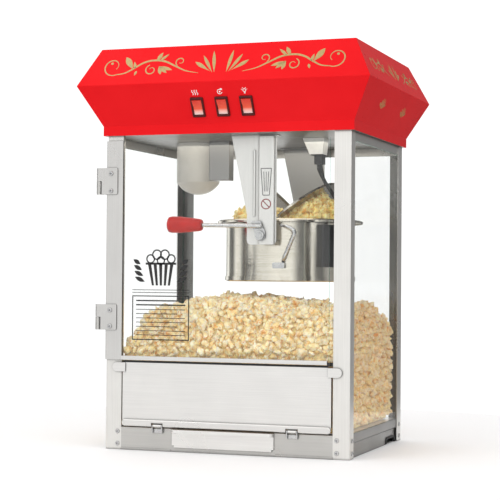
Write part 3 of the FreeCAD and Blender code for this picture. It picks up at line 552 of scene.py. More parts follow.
def strain_relief(name, path, body, material):
    """Tapered ribbed sleeve over the start of path."""
    centres, radii = [], []
    distances = [0.0]
    for a, b in zip(path, path[1:]):
        distances.append(distances[-1] + (b - a).length)
    for i in range(RELIEF_STEPS + 1):
        walked = RELIEF_LENGTH * i / RELIEF_STEPS
        k = max(j for j in range(len(distances) - 1) if distances[j] <= walked)
        part = (walked - distances[k]) / (distances[k + 1] - distances[k])
        centres.append(path[k].lerp(path[k + 1], part))
        taper = 6.0 - 1.9 * i / RELIEF_STEPS
        groove = 0.55 if (i % 8) in (5, 6) and i > 6 else 0.0
        radii.append((taper - groove) * MM)
    points, faces = tube(centres, radii)
    return add_piece(name, mesh_of(name, points, faces, True), material, body)


def add_lead(material):
    """The lead from the plug under the canopy to the terminal box on the kettle."""
    path = smooth_route(LEAD_ROUTE)
    points, faces = tube(path, [LEAD_RADIUS] * len(path))
    lead = add_piece("lead_tube", mesh_of("lead_tube", points, faces, True), material, None)
    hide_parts("kettle_lead")
    reliefs = [
        strain_relief("lead_relief_plug", path, "root", material),
        strain_relief("lead_relief_kettle", path[::-1], "kettle", material),
    ]
    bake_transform(lead)


# ---- printed ornaments


def patch(origin, across, up, lift):
    """A flat face to print on: a function from millimetres across and up to a place lifted off it."""
    origin, across, up = Vector(origin), Vector(across).normalized(), Vector(up).normalized()
    stand_off = across.cross(up) * lift
    return lambda u, s: origin + across * (u * MM) + up * (s * MM) + stand_off


class Print:
    """Flat shapes in millimetres, gathered into one thin mesh."""

    def __init__(self, face, shift=(0, 0)):
        self.face = face
        self.points, self.faces = [], []
        self.placed(shift=shift)

    def placed(self, scale=1.0, mirror=False, shift=(0, 0)):
        """Later shapes are drawn at this scale, mirrored or not, and shifted."""
        self.scale, self.mirror, self.shift = scale, mirror, shift
        return self

    def add(self, outline_pairs, closed=False):
        """A strip between pairs of points."""
        first = len(self.points)
        flip = -1 if self.mirror else 1
        for pair in outline_pairs:
            for u, s in pair:
                across = flip * u * self.scale + self.shift[0]
                self.points.append(self.face(across, s * self.scale + self.shift[1]))
        count = len(outline_pairs)
        for i in range(count if closed else count - 1):
            a, b = first + 2 * i, first + 2 * ((i + 1) % count)
            face = (a, a + 1, b + 1, b)
            self.faces.append(tuple(reversed(face)) if self.mirror else face)

    def stroke(self, line, width, taper=lambda t: 1.0):
        """A line of some width; taper(t) scales the width along it."""
        pairs = []
        last = len(line) - 1
        for i, (u, s) in enumerate(line):
            before, after = line[max(i - 1, 0)], line[min(i + 1, last)]
            du, ds = after[0] - before[0], after[1] - before[1]
            length = hypot(du, ds) or 1.0
            half = width / 2 * taper(i / last)
            nu, ns = -ds / length * half, du / length * half
            pairs.append(((u + nu, s + ns), (u - nu, s - ns)))
        self.add(pairs)

    def leaf(self, base, tip, width, belly=0.45):
        """A pointed leaf from base to tip, widest at belly."""
        line = [tuple(b + (t - b) * i / 12 for b, t in zip(base, tip)) for i in range(13)]
        power = log(0.5) / log(belly)
        self.stroke(line, width, lambda t: sin(pi * t**power) * 0.96 + 0.04)

    def disc(self, centre, radius, inner=0.01):
        """A ring; without an inner radius it is a disc."""
        pairs = []
        for i in range(24):
            turn = i * 2 * pi / 24
            c, s = cos(turn), sin(turn)
            pairs.append([(centre[0] + r * c, centre[1] + r * s) for r in (radius, inner)])
        self.add(pairs, closed=True)

    def bar(self, low, high):
        """A rectangle between two corners."""
        self.add([((low[0], level), (high[0], level)) for level in (low[1], high[1])])

    def finish(self, name, material, body, slot, thickness=0.25 * MM):
        """Makes the piece out of the shapes drawn so far."""
        piece = add_piece(name, mesh_of(name, self.points, self.faces), material, body)
        solid = piece.modifiers.new("thickness", "SOLIDIFY")
        solid.thickness = thickness
        solid.offset = 0.0


def flowing(points):
    """A Catmull-Rom line through points."""
    padded = [points[0], *points, points[-1]]
    line = []
    for p0, p1, p2, p3 in zip(padded, padded[1:], padded[2:], padded[3:]):
        for i in range(10):
            t = i / 10
            weights = (
                -0.5 * t + t * t - 0.5 * t**3,
                1 - 2.5 * t * t + 1.5 * t**3,
                0.5 * t + 2 * t * t - 1.5 * t**3,
                -0.5 * t * t + 0.5 * t**3,
            )
            line.append(tuple(sum(w * p[k] for w, p in zip(weights, (p0, p1, p2, p3))) for k in (0, 1)))
    return line + [points[-1]]


def curl(centre, radius, start, turns, shrink):
    """A spiral around centre that begins at the angle start and closes in by shrink."""
    count = int(abs(turns) * 28)
    line = []
    for i in range(count + 1):
        t = i / count
        reach = radius * (1 - (1 - shrink) * t)
        turn = radians(start) + 2 * pi * turns * t
        line.append((centre[0] + reach * cos(turn), centre[1] + reach * sin(turn)))
    return line


def swell(t):
    """How wide a curl is along its length: widest a third of the way in, thin at its eye."""
    return 0.45 + 0.55 * sin(pi * min(1.0, t + 0.15))


def stem_swell(t):
    """How wide the stem is along its length: widest in the middle, with a fine tail."""
    return 0.55 + 0.6 * sin(pi * t) if t < 0.8 else 0.9 * (1.05 - t) / 0.25


STEM = ((34, 5.6), (50, 8), (66, 17), (84, 29), (104, 34), (128, 31), (152, 19), (174, 8), (200, 2))


def draw_scroll(ink):
    """A running scroll 200 mm long: an open spiral, an arched stem with leaves, and a fine tail."""
    ink.stroke(curl((24, 24), 21, -60, -0.95, 0.42), 2.5, swell)
    ink.disc((20.5, 31), 2.6)
    ink.stroke(flowing(STEM), 3.4, stem_swell)
    ink.stroke(curl((103, 13), 12, 110, 1.1, 0.3), 2.4, swell)
    ink.stroke(curl((160, 29), 10, -120, -1.0, 0.32), 2.2, swell)
    ink.leaf((66, 16), (47, 44), 12.0, 0.6)
    ink.leaf((70, 17), (66, 33), 6.0)
    ink.leaf((74, 12), (71, 2), 5.0)
    ink.leaf((112, 34), (121, 51), 8.0)
    ink.leaf((118, 33), (134, 47), 5.5)
    for tip in ((124, 2), (136, 5), (146, 11)):
        ink.leaf((118, 20), tip, 7.0, 0.55)


def draw_fan(ink):
    """Three petals that spread to one side."""
    ink.leaf((3, 0), (11, 50), 7.0, 0.55)
    ink.leaf((7, 0), (31, 40), 6.5, 0.6)
    ink.leaf((12, 3), (46, 26), 8.0, 0.65)


# Half width, half depth and height of the canopy's widest line, its top edge and its lower edge, in mm.
WAIST = (286.5, 235.5, 687.0)
CROWN = (251.0, 200.0, 760.0)
LIP = (248.0, 197.0, 613.0)


def slope_patch(turn, upper):
    """The upper or lower slope of the canopy; turn is 0 for the front, 90 for the right, and so on."""
    low, high = (WAIST, CROWN) if upper else (LIP, WAIST)
    out = 0 if turn % 180 else 1
    rotation = Matrix.Rotation(radians(turn), 3, "Z")
    origin = rotation @ mm(0, -low[out], low[2])
    up = rotation @ mm(0, low[out] - high[out], high[2] - low[2])
    return patch(origin, rotation @ Vector((1, 0, 0)), up, 0.35 * MM)


def add_ornaments():
    """Gold scrolls and fans on the upper slopes, and small sprays on the lower slopes of the sides."""
    gold = pigment("gold_ink", (0.46, 0.33, 0.12), 0.1, 0.42)
    for name, turn in (("front", 0), ("back", 180), ("right", 90), ("left", 270)):
        long_side = turn % 180 == 0
        scroll_scale, scroll_out, scroll_up = (1.0, 243, 17) if long_side else (0.62, 175, 22)
        fan_scale, fan_out, fan_up = (0.95, 9, 19) if long_side else (0.7, 6, 22)
        ink = Print(slope_patch(turn, True))
        for mirror, side in ((False, -1), (True, 1)):
            draw_scroll(ink.placed(scroll_scale, mirror, (side * scroll_out, scroll_up)))
            draw_fan(ink.placed(fan_scale, not mirror, (side * fan_out, fan_up)))
        ink.finish(f"scrolls_{name}", gold, "root", "canopy_red")
        if long_side:
            continue
        ink = Print(slope_patch(turn, False))
        for side, mirror in product((-1, 1), (False, True)):
            draw_fan(ink.placed(0.42, mirror, (side * 78, 36)))
        ink.finish(f"sprays_{name}", gold, "root", "canopy_red")


# Where the signs stand: how far up the lower slope, and how far across.
SIGNS_UP = 62.5
HEAT_X, STIR_X, LIGHT_X = -50.0, -1.0, 47.5


def add_switch_marks():
    """Plain signs over the three switches, for heat, stirring and light."""
    white = pigment("white_ink", (0.86, 0.85, 0.82))
    ink = Print(slope_patch(0, False), (HEAT_X, SIGNS_UP))
    for u in (-4.5, 0, 4.5):
        ink.stroke(flowing([(u, -5), (u + 1.3, -2.5), (u, 0), (u - 1.3, 2.5), (u, 5)]), 1.3)
    ink.placed(shift=(STIR_X, SIGNS_UP))
    ink.stroke(curl((0, 0), 4.4, 60, 0.8, 1.0), 1.3)
    ink.disc((0, 0), 1.6)
    ink.leaf((1.0, 4.6), (6.0, 4.8), 4.2, 0.3)
    ink.placed(shift=(LIGHT_X, SIGNS_UP))
    ink.disc((0, 1.2), 3.4, 2.2)
    ink.bar((-1.5, -5.0), (1.5, -2.6))
    for degrees in (20, 60, 120, 160):
        c, s = cos(radians(degrees)), sin(radians(degrees))
        ink.stroke([(4.3 * c, 1.2 + 4.3 * s), (6.2 * c, 1.2 + 6.2 * s)], 1.0)
    ink.finish("switch_signs", white, "root", "white_paint", 0.2 * MM)


PRINT_STAND_OFF = 0.2 * MM
PRINT_THICKNESS = 0.15 * MM
DOOR_PRINT_X = -128.0
# Corners of the four bars of the empty frame.
FRAME_BARS = (
    ((-58, 208), (58, 210)), ((-58, 290), (58, 292)), ((-58, 210), (-56, 290)), ((56, 210), (58, 290)),
)
TUB_FOOT, TUB_TOP = 311, 350
# Centres and radii of the flakes over the tub.
TUB_FLAKES = (((-21, 361), 9.0), ((-8, 369), 10.0), ((8, 369), 10.0), ((21, 361), 9.0), ((0, 358), 8.5))


def front_face(node):
    """The front of a node as a face to print on, in millimetres across and up from the origin."""
    return patch((0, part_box(node)[0].y, 0), (1, 0, 0), (0, 0, 1), PRINT_STAND_OFF)


def add_door_print():
    """Print on the door glass: a plain sign of a popcorn tub over an empty frame with rules."""
    black = pigment("black_ink", (0.012, 0.012, 0.012), 0.0, 0.5)
    ink = Print(front_face("door_glass"), shift=(DOOR_PRINT_X, 0.0))
    for low, high in FRAME_BARS:
        ink.bar(low, high)
    for row in range(9):
        z = 281 - 8.0 * row
        ink.bar((-50, z), (50 if row % 3 else 34, z + (2.6 if row < 2 else 1.3)))
    for z in (297, 302):
        ink.bar((-58, z), (58, z + 1.2))
    for stripe in range(5):
        foot, top = -18 + 8.1 * stripe, -26 + 11.2 * stripe
        ink.add([((foot, TUB_FOOT), (foot + 4.4, TUB_FOOT)), ((top, TUB_TOP), (top + 6.5, TUB_TOP))])
    ink.bar((-31, TUB_TOP), (31, TUB_TOP + 4))
    for centre, radius in TUB_FLAKES:
        ink.disc(centre, radius, radius - 2.6)
    for side in (-1, 1):
        for step in range(4):
            root = (side * (33 + 3 * step), 318 + 11 * step)
            ink.leaf(root, (root[0] + side * (20 - 2 * step), root[1] + 9), 8.0, 0.5)
    ink.finish("door_print", black, "door", "black_plastic", PRINT_THICKNESS)


# The hanger's label and the sign under it.
LABEL_X = 66.4
LABEL_CORNERS = [(-6.4, 481), (6.4, 481), (10.3, 531), (-10.3, 531)]
SIGN_Z = 464.5


def add_hanger_signs():
    """On the front hanger, an empty label with rules and a plain ring with a slanting bar."""
    face = front_face("hanger_front")
    label = Print(face, shift=(LABEL_X, 0.0))
    for start, end in zip(LABEL_CORNERS, LABEL_CORNERS[1:] + LABEL_CORNERS[:1]):
        label.stroke([start, end], 1.3)
    for u in (-3.2, 0, 3.2):
        label.stroke([(u, 488), (u * 1.5, 525)], 1.1)
    sign = Print(face, shift=(LABEL_X, SIGN_Z))
    sign.disc((0, 0), 10.0, 8.2)
    sign.stroke([(-6, 6), (6, -6)], 1.6)
    for ink, part, colour in ((label, "label", (0.10, 0.10, 0.10)), (sign, "sign", (0.26, 0.03, 0.03))):
        paint = pigment(f"{part}_ink", colour)
        ink.finish(f"hanger_{part}", paint, "root", "black_plastic", PRINT_THICKNESS)


# Opposite corners of the strip on the drop panel's top fold.
GAP_STRIP = (mm(-206, -190.4, 165), mm(198.5, -183.5, 168.6))


def add_panel_gap_strip(material):
    """Black strip, in the rubber finish, on the drop panel that fills most of the gap under the door,
    where it shows as a dark line.
    """
    corners = list(product(*zip(*GAP_STRIP)))
    faces = [(0, 1, 3, 2), (4, 6, 7, 5), (0, 4, 5, 1), (2, 3, 7, 6), (0, 2, 6, 4), (1, 5, 7, 3)]
    add_piece("panel_gap_strip", mesh_of("panel_gap_strip", corners, faces), material, "drop_panel")


# ---- popcorn
# Places and sizes from here to the studio are in millimetres.

CREAM = np.array((1.0, 0.95, 0.80))
BUTTER = np.array((1.0, 0.88, 0.52))
# Toasted brown, also the colour of the painted shade in the flakes' deepest creases.
TOAST_AND_CREASE_SHADE = np.array((0.84, 0.42, 0.11))
HULL = np.array((0.40, 0.13, 0.03))
# How much less red, green and blue the flakes against the right pane have, and where that begins:
# painted shade on that side of the heap.
PAINTED_SIDE_SHADE = np.array((0.06, 0.20, 0.30))
PAINTED_SIDE_SHADE_FROM = 190
BED_TONE = (0.98, 0.96, 0.92)
MOUND_TONE = (1.0, 0.93, 0.55)

GAP = 13.4  # between neighbouring flakes
FLAKE_FORMS = 16
FLAKE_SIZES = (10.0, 14.5)
DEPTH_KEPT = 0.30  # how far inward a flake's faces are kept, as a share of its size

# Ranges in x, y and z for the middles of the flakes in the cabinet.
CABINET = ((-226.0, 226.0), (-180.0, 176.0), (54.0, 300.0))
# The panes, the deck and, below its top, the back of the drop panel, as the flakes touch them.
WALL_LOW, WALL_HIGH = (-235.6, -191.3, 45.6), (235.6, 184.6, 999.0)
PANEL_TOP, PANEL_BACK = 176.0, -181.0
# Into the heap from the left, right, front and back wall, and from its top.
INWARD = np.array(((1, 0, 0), (-1, 0, 0), (0, 1, 0), (0, -1, 0), (0, 0, -1)))
# Inner corners of the posts: how far out they begin, and where they end at the front or the rear.
POSTS = ((214.0, -163.0, -1), (207.0, 156.0, 1))

KETTLE_AXIS = (60.0, 12.0)  # x, y
PIVOT = (56.0, 406.0)  # x, z
SWEEP_RADIUS = 178.0
HANDLE_RADIUS = 205.0
KETTLE_FRONT, KETTLE_BACK = -146.0, 170.0


def unit_ball():
    """Points and triangles of an icosphere of radius 1."""
    probe = bpy.data.meshes.new("probe")
    form = bmesh.new()
    bmesh.ops.create_icosphere(form, subdivisions=2, radius=1.0)
    form.to_mesh(probe)
    form.free()
    points = np.array([v.co for v in probe.vertices])
    faces = np.array([p.vertices for p in probe.polygons])
    bpy.data.meshes.remove(probe)
    return points, faces


def flake_form(directions, chance):
    """One popped flake of about radius 1: swollen lobes around a core, and the colour of each point,
    with painted shade in its deepest creases.
    """
    lobes = chance.integers(5, 11)
    centres = chance.normal(size=(lobes, 3))
    centres *= (chance.uniform(0.46, 0.70, lobes) / np.linalg.norm(centres, axis=1))[:, None]
    radii = chance.uniform(0.22, 0.40, lobes)
    along = directions @ centres.T
    inside = radii**2 - (centres**2).sum(1) + along**2
    reach = np.where(inside > 0, along + np.sqrt(np.maximum(inside, 0)), 0)
    radius = np.maximum(reach.max(1), 0.36)
    hull = chance.normal(size=3)
    hull /= np.linalg.norm(hull)
    swell = np.clip((radius - 0.42) / 0.45, 0, 1)[:, None]
    at_hull = (directions @ hull > 0.88)[:, None]
    body = BUTTER * (1 - swell) + CREAM * swell
    if chance.random() < 0.35:
        body = body * 0.7 + (TOAST_AND_CREASE_SHADE * (1 - swell) + BUTTER * swell) * 0.3
    tint = np.where(at_hull, HULL * 0.3 + TOAST_AND_CREASE_SHADE * 0.7 if chance.random() < 0.5 else TOAST_AND_CREASE_SHADE, body)
    # Painted shade: the deepest points of a flake are darkened towards toast.
    crease_shading = np.clip(1 - (radius - 0.36) / 0.14, 0, 1)[:, None]
    return directions * radius[:, None], tint * (1 - 0.3 * crease_shading) + TOAST_AND_CREASE_SHADE * (0.3 * crease_shading)


def random_turn(chance):
    """A random rotation as a 3 by 3 array."""
    q = chance.normal(size=4)
    w, x, y, z = q / np.linalg.norm(q)
    rows = (
        (1 - 2 * (y * y + z * z), 2 * (x * y - z * w), 2 * (x * z + y * w)),
        (2 * (x * y + z * w), 1 - 2 * (x * x + z * z), 2 * (y * z - x * w)),
        (2 * (x * z - y * w), 2 * (y * z + x * w), 1 - 2 * (x * x + y * y)),
    )
    return np.array(rows)


class Flakes:
    """Makes meshes of many flakes out of a few forms."""

    def __init__(self, seed):
        self.chance = np.random.default_rng(seed)
        directions, self.faces = unit_ball()
        self.forms = [flake_form(directions, self.chance) for _ in range(FLAKE_FORMS)]

    def mesh(self, name, centres, sizes, tone, bedded):
        """A mesh of flakes; those bedded in the cabinet lack the faces that look into the heap."""
        points, colours, faces = [], [], []
        count = 0
        for centre, size in zip(centres, sizes):
            form, tint = self.forms[self.chance.integers(len(self.forms))]
            placed = (form @ random_turn(self.chance).T) * size + centre
            kept = self.faces
            if bedded:
                placed = inside_cabinet(placed)
                kept = kept[~inward_faces(placed[kept].mean(1), centre, size)]
            points.append(placed)
            light = self.chance.uniform(0.84, 1.06)
            # Painted shade: flakes towards the right pane get darker and browner.
            right_side_shade = np.clip((centre[0] - PAINTED_SIDE_SHADE_FROM) / 30, 0, 1)
            colours.append(np.clip(tint * light * tone * (1 - right_side_shade * PAINTED_SIDE_SHADE), 0, 1))
            faces.append(kept + count)
            count += len(placed)
        return coloured_mesh(name, *map(np.concatenate, (points, faces, colours)))


def coloured_mesh(name, points, faces, colours):
    """A smooth triangle mesh with a tint at each point; points that no face uses are dropped."""
    used = np.unique(faces)
    renumber = np.zeros(len(points), np.int64)
    renumber[used] = np.arange(len(used))
    points, colours, faces = points[used] * MM, colours[used], renumber[faces]
    mesh = bpy.data.meshes.new(name)
    mesh.vertices.add(len(points))
    mesh.vertices.foreach_set("co", points.astype(np.float32).ravel())
    mesh.loops.add(faces.size)
    mesh.loops.foreach_set("vertex_index", faces.astype(np.int32).ravel())
    mesh.polygons.add(len(faces))
    mesh.polygons.foreach_set("loop_start", np.arange(0, faces.size, 3, dtype=np.int32))
    mesh.polygons.foreach_set("use_smooth", np.ones(len(faces), bool))
    mesh.update(calc_edges=True)
    tint = mesh.color_attributes.new("tint", "FLOAT_COLOR", "POINT")
    rgba = np.concatenate([colours, np.ones((len(colours), 1))], axis=1)
    tint.data.foreach_set("color", rgba.astype(np.float32).ravel())
    return mesh


def heap_top(x, y):
    """Height of the popcorn: a broad lumpy heap that falls away to all sides, most to the left."""
    left = np.maximum(0, (-140 - x) / 95) ** 2
    spread = np.where(x < 10, 45, 32) * ((x - 10) / 230) ** 2
    bank = 18 * np.clip((x - 185) / 40, 0, 1)
    back = np.where(y > -60, 0.0011, 0.0006) * (y + 60) ** 2
    lumps = 4 * np.sin(x / 15 + 1) * np.cos(y / 19) + 3 * np.sin(x / 31 - y / 24)
    return 287 - 110 * left - spread + bank - back + lumps


def in_kettle_sweep(x, y, z):
    """Whether points lie where the kettle passes as it tips, and whether only its handle does."""
    across = np.hypot(x - PIVOT[0], z - PIVOT[1])
    kettle = (across < SWEEP_RADIUS + 9) & (y > KETTLE_FRONT) & (y < KETTLE_BACK)
    handle = (across < HANDLE_RADIUS) & (y < KETTLE_FRONT + 6) & (x < 60)
    return kettle, handle & ~kettle


def strew(chance, u_range, v_range, gap=GAP):
    """Jittered rows of places over a rectangle."""
    us = np.arange(u_range[0] + gap / 2, u_range[1], gap)
    vs = np.arange(v_range[0] + gap / 2, v_range[1], gap * 0.88)
    u, v = np.meshgrid(us, vs)
    u = u + (np.arange(len(vs)) % 2)[:, None] * gap / 2
    jitter = gap * 0.26
    u = u.ravel() + chance.uniform(-jitter, jitter, u.size)
    v = v.ravel() + chance.uniform(-jitter, jitter, v.size)
    keep = (u < u_range[1]) & (v < v_range[1])
    return u[keep], v[keep]


def inside_cabinet(points):
    """Shifts a flake so that it only just touches the panes, the drop panel and the deck."""
    low = np.array(WALL_LOW)
    if points[:, 2].min() < PANEL_TOP:
        low[1] = PANEL_BACK
    return points + np.maximum(0, low - points.min(0)) - np.maximum(0, points.max(0) - WALL_HIGH)


def bed_flakes(chance):
    """Places of the flakes that can be seen in the cabinet: on the heap and against the four sides."""
    groups = []
    for depth in (4.0, 15.0):
        x, y = strew(chance, *CABINET[:2])
        groups.append([x, y, heap_top(x, y) - depth + chance.uniform(-4, 5, x.size)])
        for across, along in ((1, 0), (0, 1)):
            for wall, inward in zip(CABINET[across], (1, -1)):
                level, z = strew(chance, CABINET[along], CABINET[2])
                out = wall + inward * (depth - 4 + chance.uniform(0, 5, z.size))
                groups.append([level, out, z] if across else [out, level, z])
    places = np.concatenate(groups, axis=1).T
    low_enough = places[:, 2] <= heap_top(places[:, 0], places[:, 1]) + 2
    return places[low_enough]


def clear_of_posts(places, sizes):
    """Pushes flakes out of the corner posts by the shorter way."""
    places = places.copy()
    for begin, end, side in POSTS:
        over_x = np.abs(places[:, 0]) + 0.8 * sizes - begin
        over_y = side * (places[:, 1] - end) + 0.8 * sizes
        inside = (over_x > 0) & (over_y > 0)
        by_x = inside & (over_x <= over_y)
        by_y = inside & ~by_x
        places[by_x, 0] -= np.sign(places[by_x, 0]) * over_x[by_x]
        places[by_y, 1] -= side * over_y[by_y]
    return places


def inward_faces(points, centre, size):
    """Faces on the side of a flake that looks into the heap."""
    x, y, z = centre
    (left, right), (front, back), _ = CABINET
    depths = np.array((x - left, right - x, y - front, back - y, heap_top(x, y) - z))
    near = INWARD[depths < 22].sum(0)
    length = np.linalg.norm(near)
    if length == 0:
        return np.ones(len(points), bool)
    return (points - centre) @ (near / length) > DEPTH_KEPT * size


# The core's grid, how far it stays out of the posts, and the level of its foot.
CORE_X, CORE_Y = np.meshgrid(np.linspace(-220, 220, 94), np.linspace(-174, 170, 72))
CORE_CLEARANCE = 4
CORE_FOOT = 47.0


def heap_core(chance, name, top, there):
    """Lumpy body under the flakes, so that no gap between them shows through.

    top is its height at each point of the grid, and there tells which points it covers.
    """
    x, y = CORE_X, CORE_Y
    for begin, end, side in POSTS:
        there = there & ~((np.abs(x) > begin - CORE_CLEARANCE) & (side * (y - end) > -CORE_CLEARANCE))
    top = top + chance.uniform(-3, 3, x.shape)
    foot = np.full(x.shape, CORE_FOOT)
    points = np.concatenate([np.stack([x, y, z], 2).reshape(-1, 3) for z in (top, foot)])
    faces = []
    cells = there[:-1, :-1] & there[1:, :-1] & there[:-1, 1:] & there[1:, 1:]
    framed = np.pad(cells, 1)
    columns = x.shape[1]
    for j, i in zip(*np.nonzero(cells)):
        a = j * columns + i
        b, c, d = a + 1, a + columns + 1, a + columns
        faces += [(a, b, c), (a, c, d)]
        for neighbour, p, q in (
            (framed[j, i + 1], a, b), (framed[j + 1, i + 2], b, c),
            (framed[j + 2, i + 1], c, d), (framed[j + 1, i], d, a),
        ):
            if not neighbour:
                faces += [(q, p, p + x.size), (q, p + x.size, q + x.size)]
    tones = chance.uniform(0.7, 1.0, (len(points), 1))
    return coloured_mesh(name, points, np.array(faces), TOAST_AND_CREASE_SHADE * (1 - tones) + BUTTER * tones)


def add_heap(name, mesh, skin, body, joint, level, keep):
    """A piece of popcorn on a body, with a mesh of its own when a joint is given; level, in metres, is
    not used.
    """
    piece = add_piece(name, mesh, skin, body)
    if joint:
        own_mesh(piece)


FIRM = ("root", None, 0, 0)


def add_popcorn():
    """The popcorn in the cabinet and the two mounds that lift the lids."""
    skin = popcorn_skin()
    flakes = Flakes(seed=8)
    chance = flakes.chance
    places = bed_flakes(chance)
    sizes = chance.uniform(*FLAKE_SIZES, len(places))
    places = clear_of_posts(places, sizes)
    kettle, handle = in_kettle_sweep(*places.T)
    rest = ~(kettle | handle)
    y = places[:, 1]
    shares = (
        ("popcorn_front", rest & (y < -60), FIRM),
        ("popcorn_middle", rest & (y >= -60) & (y < 70), FIRM),
        ("popcorn_back", rest & (y >= 70), FIRM),
        ("popcorn_under_kettle", kettle, ("root", "kettle_tilt", 0.226, 0.10)),
        ("popcorn_under_handle", handle, ("root", "kettle_tilt", 0.205, 0.12)),
    )
    for name, share, motion in shares:
        mesh = flakes.mesh(name, places[share], sizes[share], BED_TONE, bedded=True)
        add_heap(name, mesh, skin, *motion)
    add_cores(chance, skin)
    add_mounds(flakes, skin)


def add_cores(chance, skin):
    """The body of the heap, and the two parts of it where the kettle and its handle pass as the kettle
    tips.
    """
    x, y = CORE_X, CORE_Y
    kettle, handle = in_kettle_sweep(x, y, heap_top(x, y) - 18)
    top = heap_top(x, y) - 20
    lowest_kettle = PIVOT[1] - np.sqrt(np.maximum(0, SWEEP_RADIUS**2 - (x - PIVOT[0]) ** 2))
    firm = np.where(kettle, np.minimum(top, lowest_kettle - 14), top)
    firm = np.where(handle, np.minimum(firm, 192), firm)
    cores = (
        ("popcorn_core", firm, np.ones(x.shape, bool), FIRM),
        ("popcorn_core_under_kettle", top, kettle, ("root", "kettle_tilt", 0.222, 0.10)),
        ("popcorn_core_under_handle", top, handle, ("root", "kettle_tilt", 0.190, 0.08)),
    )
    for name, level, there, motion in cores:
        add_heap(name, heap_core(chance, name, level, there), skin, *motion)


def add_mounds(flakes, skin):
    """Popcorn heaped over the kettle's brim, on each side of the crossbar."""
    chance = flakes.chance
    mounds = (
        ("popcorn_mound_left", -1, 2.0, 5.0, 34.0, "lid_left_lift"),
        ("popcorn_mound_right", 1, 122.0, -2.0, 52.0, "lid_right_lift"),
    )
    for name, side, peak_x, peak_y, height, joint in mounds:
        x, y = strew(chance, (-60, 180), (-108, 132), 12.5)
        off_axis = side * (x - KETTLE_AXIS[0])
        inside = (off_axis > 14) & (np.hypot(x - KETTLE_AXIS[0], y - KETTLE_AXIS[1]) < 112)
        x, y = x[inside], y[inside]
        reach = np.hypot((x - peak_x) / 62, (y - peak_y) / 105)
        top = 436 + height * np.clip(1 - reach**1.6, 0, 1)
        layers = []
        for depth in (3.0, 14.0, 25.0):
            z = top - depth + chance.uniform(-3, 3, x.size)
            layers.append(np.stack([x, y, z], 1)[z > 428])
        places = np.concatenate(layers)
        sizes = chance.uniform(*FLAKE_SIZES, len(places)) * 1.05
        mesh = flakes.mesh(name, places, sizes, MOUND_TONE, bedded=False)
        add_heap(name, mesh, skin, "kettle", joint, 0.431, 0.10)


# ---- studio

EYE = Vector((0.9765, -2.8006, 0.3246))
AIM = Vector((-0.0197, 0.0, 0.3819))
ROLL = 0.44
LENS = 108.14


def looking(place, aim):
    """The placement of a camera or light at place that looks at aim."""
    facing = (Vector(aim) - Vector(place)).to_track_quat("-Z", "Y").to_matrix().to_4x4()
    return Matrix.Translation(place) @ facing


def add_camera():
    data = bpy.data.cameras.new("camera")
    data.lens = LENS
    data.sensor_width = 36.0
    camera = add_object("camera", data)
    camera.matrix_world = looking(EYE, AIM) @ Matrix.Rotation(radians(ROLL), 4, "Z")
    bpy.context.scene.camera = camera


# Name, place, the point it faces, its two sizes in metres, and power in watts.
LIGHTS = (
    ("key", (-1.6, -2.2, 2.2), (0, 0, 0.4), (1.6, 1.6), 9),
    ("fill", (1.2, -2.4, 1.4), (0, 0, 0.35), (1.2, 1.2), 6),
    ("strip", (-0.15, -0.45, 0.98), (-0.02, -0.23, 0.69), (0.75, 0.10), 0.3),
    ("side", (2.6, -1.4, 1.2), (0.2, 0, 0.6), (1.2, 1.2), 9),
    ("cabinet", (0, 0, 0.588), (0, 0, 0), (0.36, 0.30), 0.45),
)


def add_lights():
    """Soft studio lights, and a warm one under the cabinet's ceiling that isn't seen itself."""
    for name, place, aim, size, power in LIGHTS:
        data = bpy.data.lights.new(name, "AREA")
        data.shape = "RECTANGLE"
        data.size, data.size_y = size
        data.energy = power
        light = add_object(name, data)
        light.matrix_world = looking(place, aim)
        if name == "cabinet":
            data.color = (1.0, 0.95, 0.86)
            light.visible_camera = False


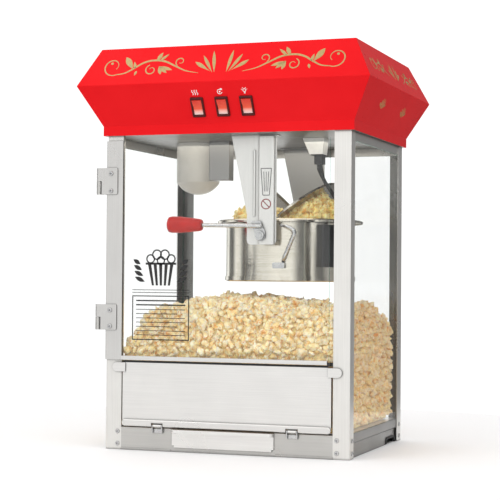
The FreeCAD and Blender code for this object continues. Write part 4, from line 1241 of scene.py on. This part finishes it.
# Brightness of the studio walls by bearing: 0.5 is the front, 0.75 the right, 0 and 1 the back.
WALLS = (
    (0.0, 0.25), (0.012, 0.25), (0.024, 1.25), (0.15, 1.25), (0.17, 0.12), (0.21, 0.12), (0.23, 1.1),
    (0.27, 1.1), (0.285, 0.2), (0.32, 0.15), (0.335, 1.0), (0.35, 0.95), (0.365, 0.25), (0.385, 1.0),
    (0.43, 0.95), (0.457, 1.15), (0.56, 1.2), (0.59, 0.2), (0.62, 0.15), (0.635, 1.1), (0.66, 1.05),
    (0.68, 0.15), (0.72, 0.12), (0.74, 0.45), (0.8, 0.28), (0.94, 0.25), (0.999, 0.25),
)
CEILING = (1.2, 1.2, 1.2, 1)
BACKDROP = (1.15, 1.15, 1.15, 1)


def add_studio():
    """White studio with some dark gaps between its walls, a bright ceiling and an even backdrop."""
    world = bpy.data.worlds.new("studio")
    bpy.context.scene.world = world
    sky = Nodes(world)
    direction = sky.node("TexCoord").outputs["Generated"]
    front = sky.math("MULTIPLY", sky.axis(direction, "Y"), -1.0)
    bearing = sky.math("ARCTAN2", sky.axis(direction, "X"), front)
    stops = [(position, (level, level, level)) for position, level in WALLS]
    walls = sky.ramp(sky.remap(bearing, -pi, pi), *stops)
    room = sky.mix(sky.remap(sky.axis(direction, "Z"), 0.35, 0.80), walls, CEILING)
    behind = sky.node("LightPath").outputs["Is Camera Ray"]
    background = sky.node("Background", {"Color": sky.mix(behind, room, BACKDROP)})
    sky.node("OutputWorld", {"Surface": background.outputs[0]})


FLOOR_RADIUS = 0.9
FLOOR_SIDES = 96


def add_floor():
    """A round pale table top, a little under the machine."""
    turns = [2 * pi * k / FLOOR_SIDES for k in range(FLOOR_SIDES)]
    points = [(FLOOR_RADIUS * cos(turn), FLOOR_RADIUS * sin(turn), 0) for turn in turns]
    mesh = mesh_of("studio_floor", points, [tuple(range(FLOOR_SIDES))])
    floor = add_object("studio_floor", mesh)
    look = Look("studio_floor")
    pale = look.ramp(look.noise(0.5), (0.3, (0.955, 0.955, 0.955)), (0.7, (0.97, 0.97, 0.97)))
    mesh.materials.append(look.set(Base_Color=pale, Roughness=0.8, Specular_IOR_Level=0.1))
    floor.location.z = -0.0005


def main():
    by_slot = finish_cad_nodes()
    add_camera()
    add_lead(by_slot["rubber"])
    add_ornaments()
    add_switch_marks()
    add_door_print()
    add_hanger_signs()
    add_panel_gap_strip(by_slot["rubber"])
    add_popcorn()
    add_studio()
    add_floor()
    add_lights()
    bpy.context.scene.view_settings.view_transform = "Standard"


main()
bpy.context.view_layer.update()
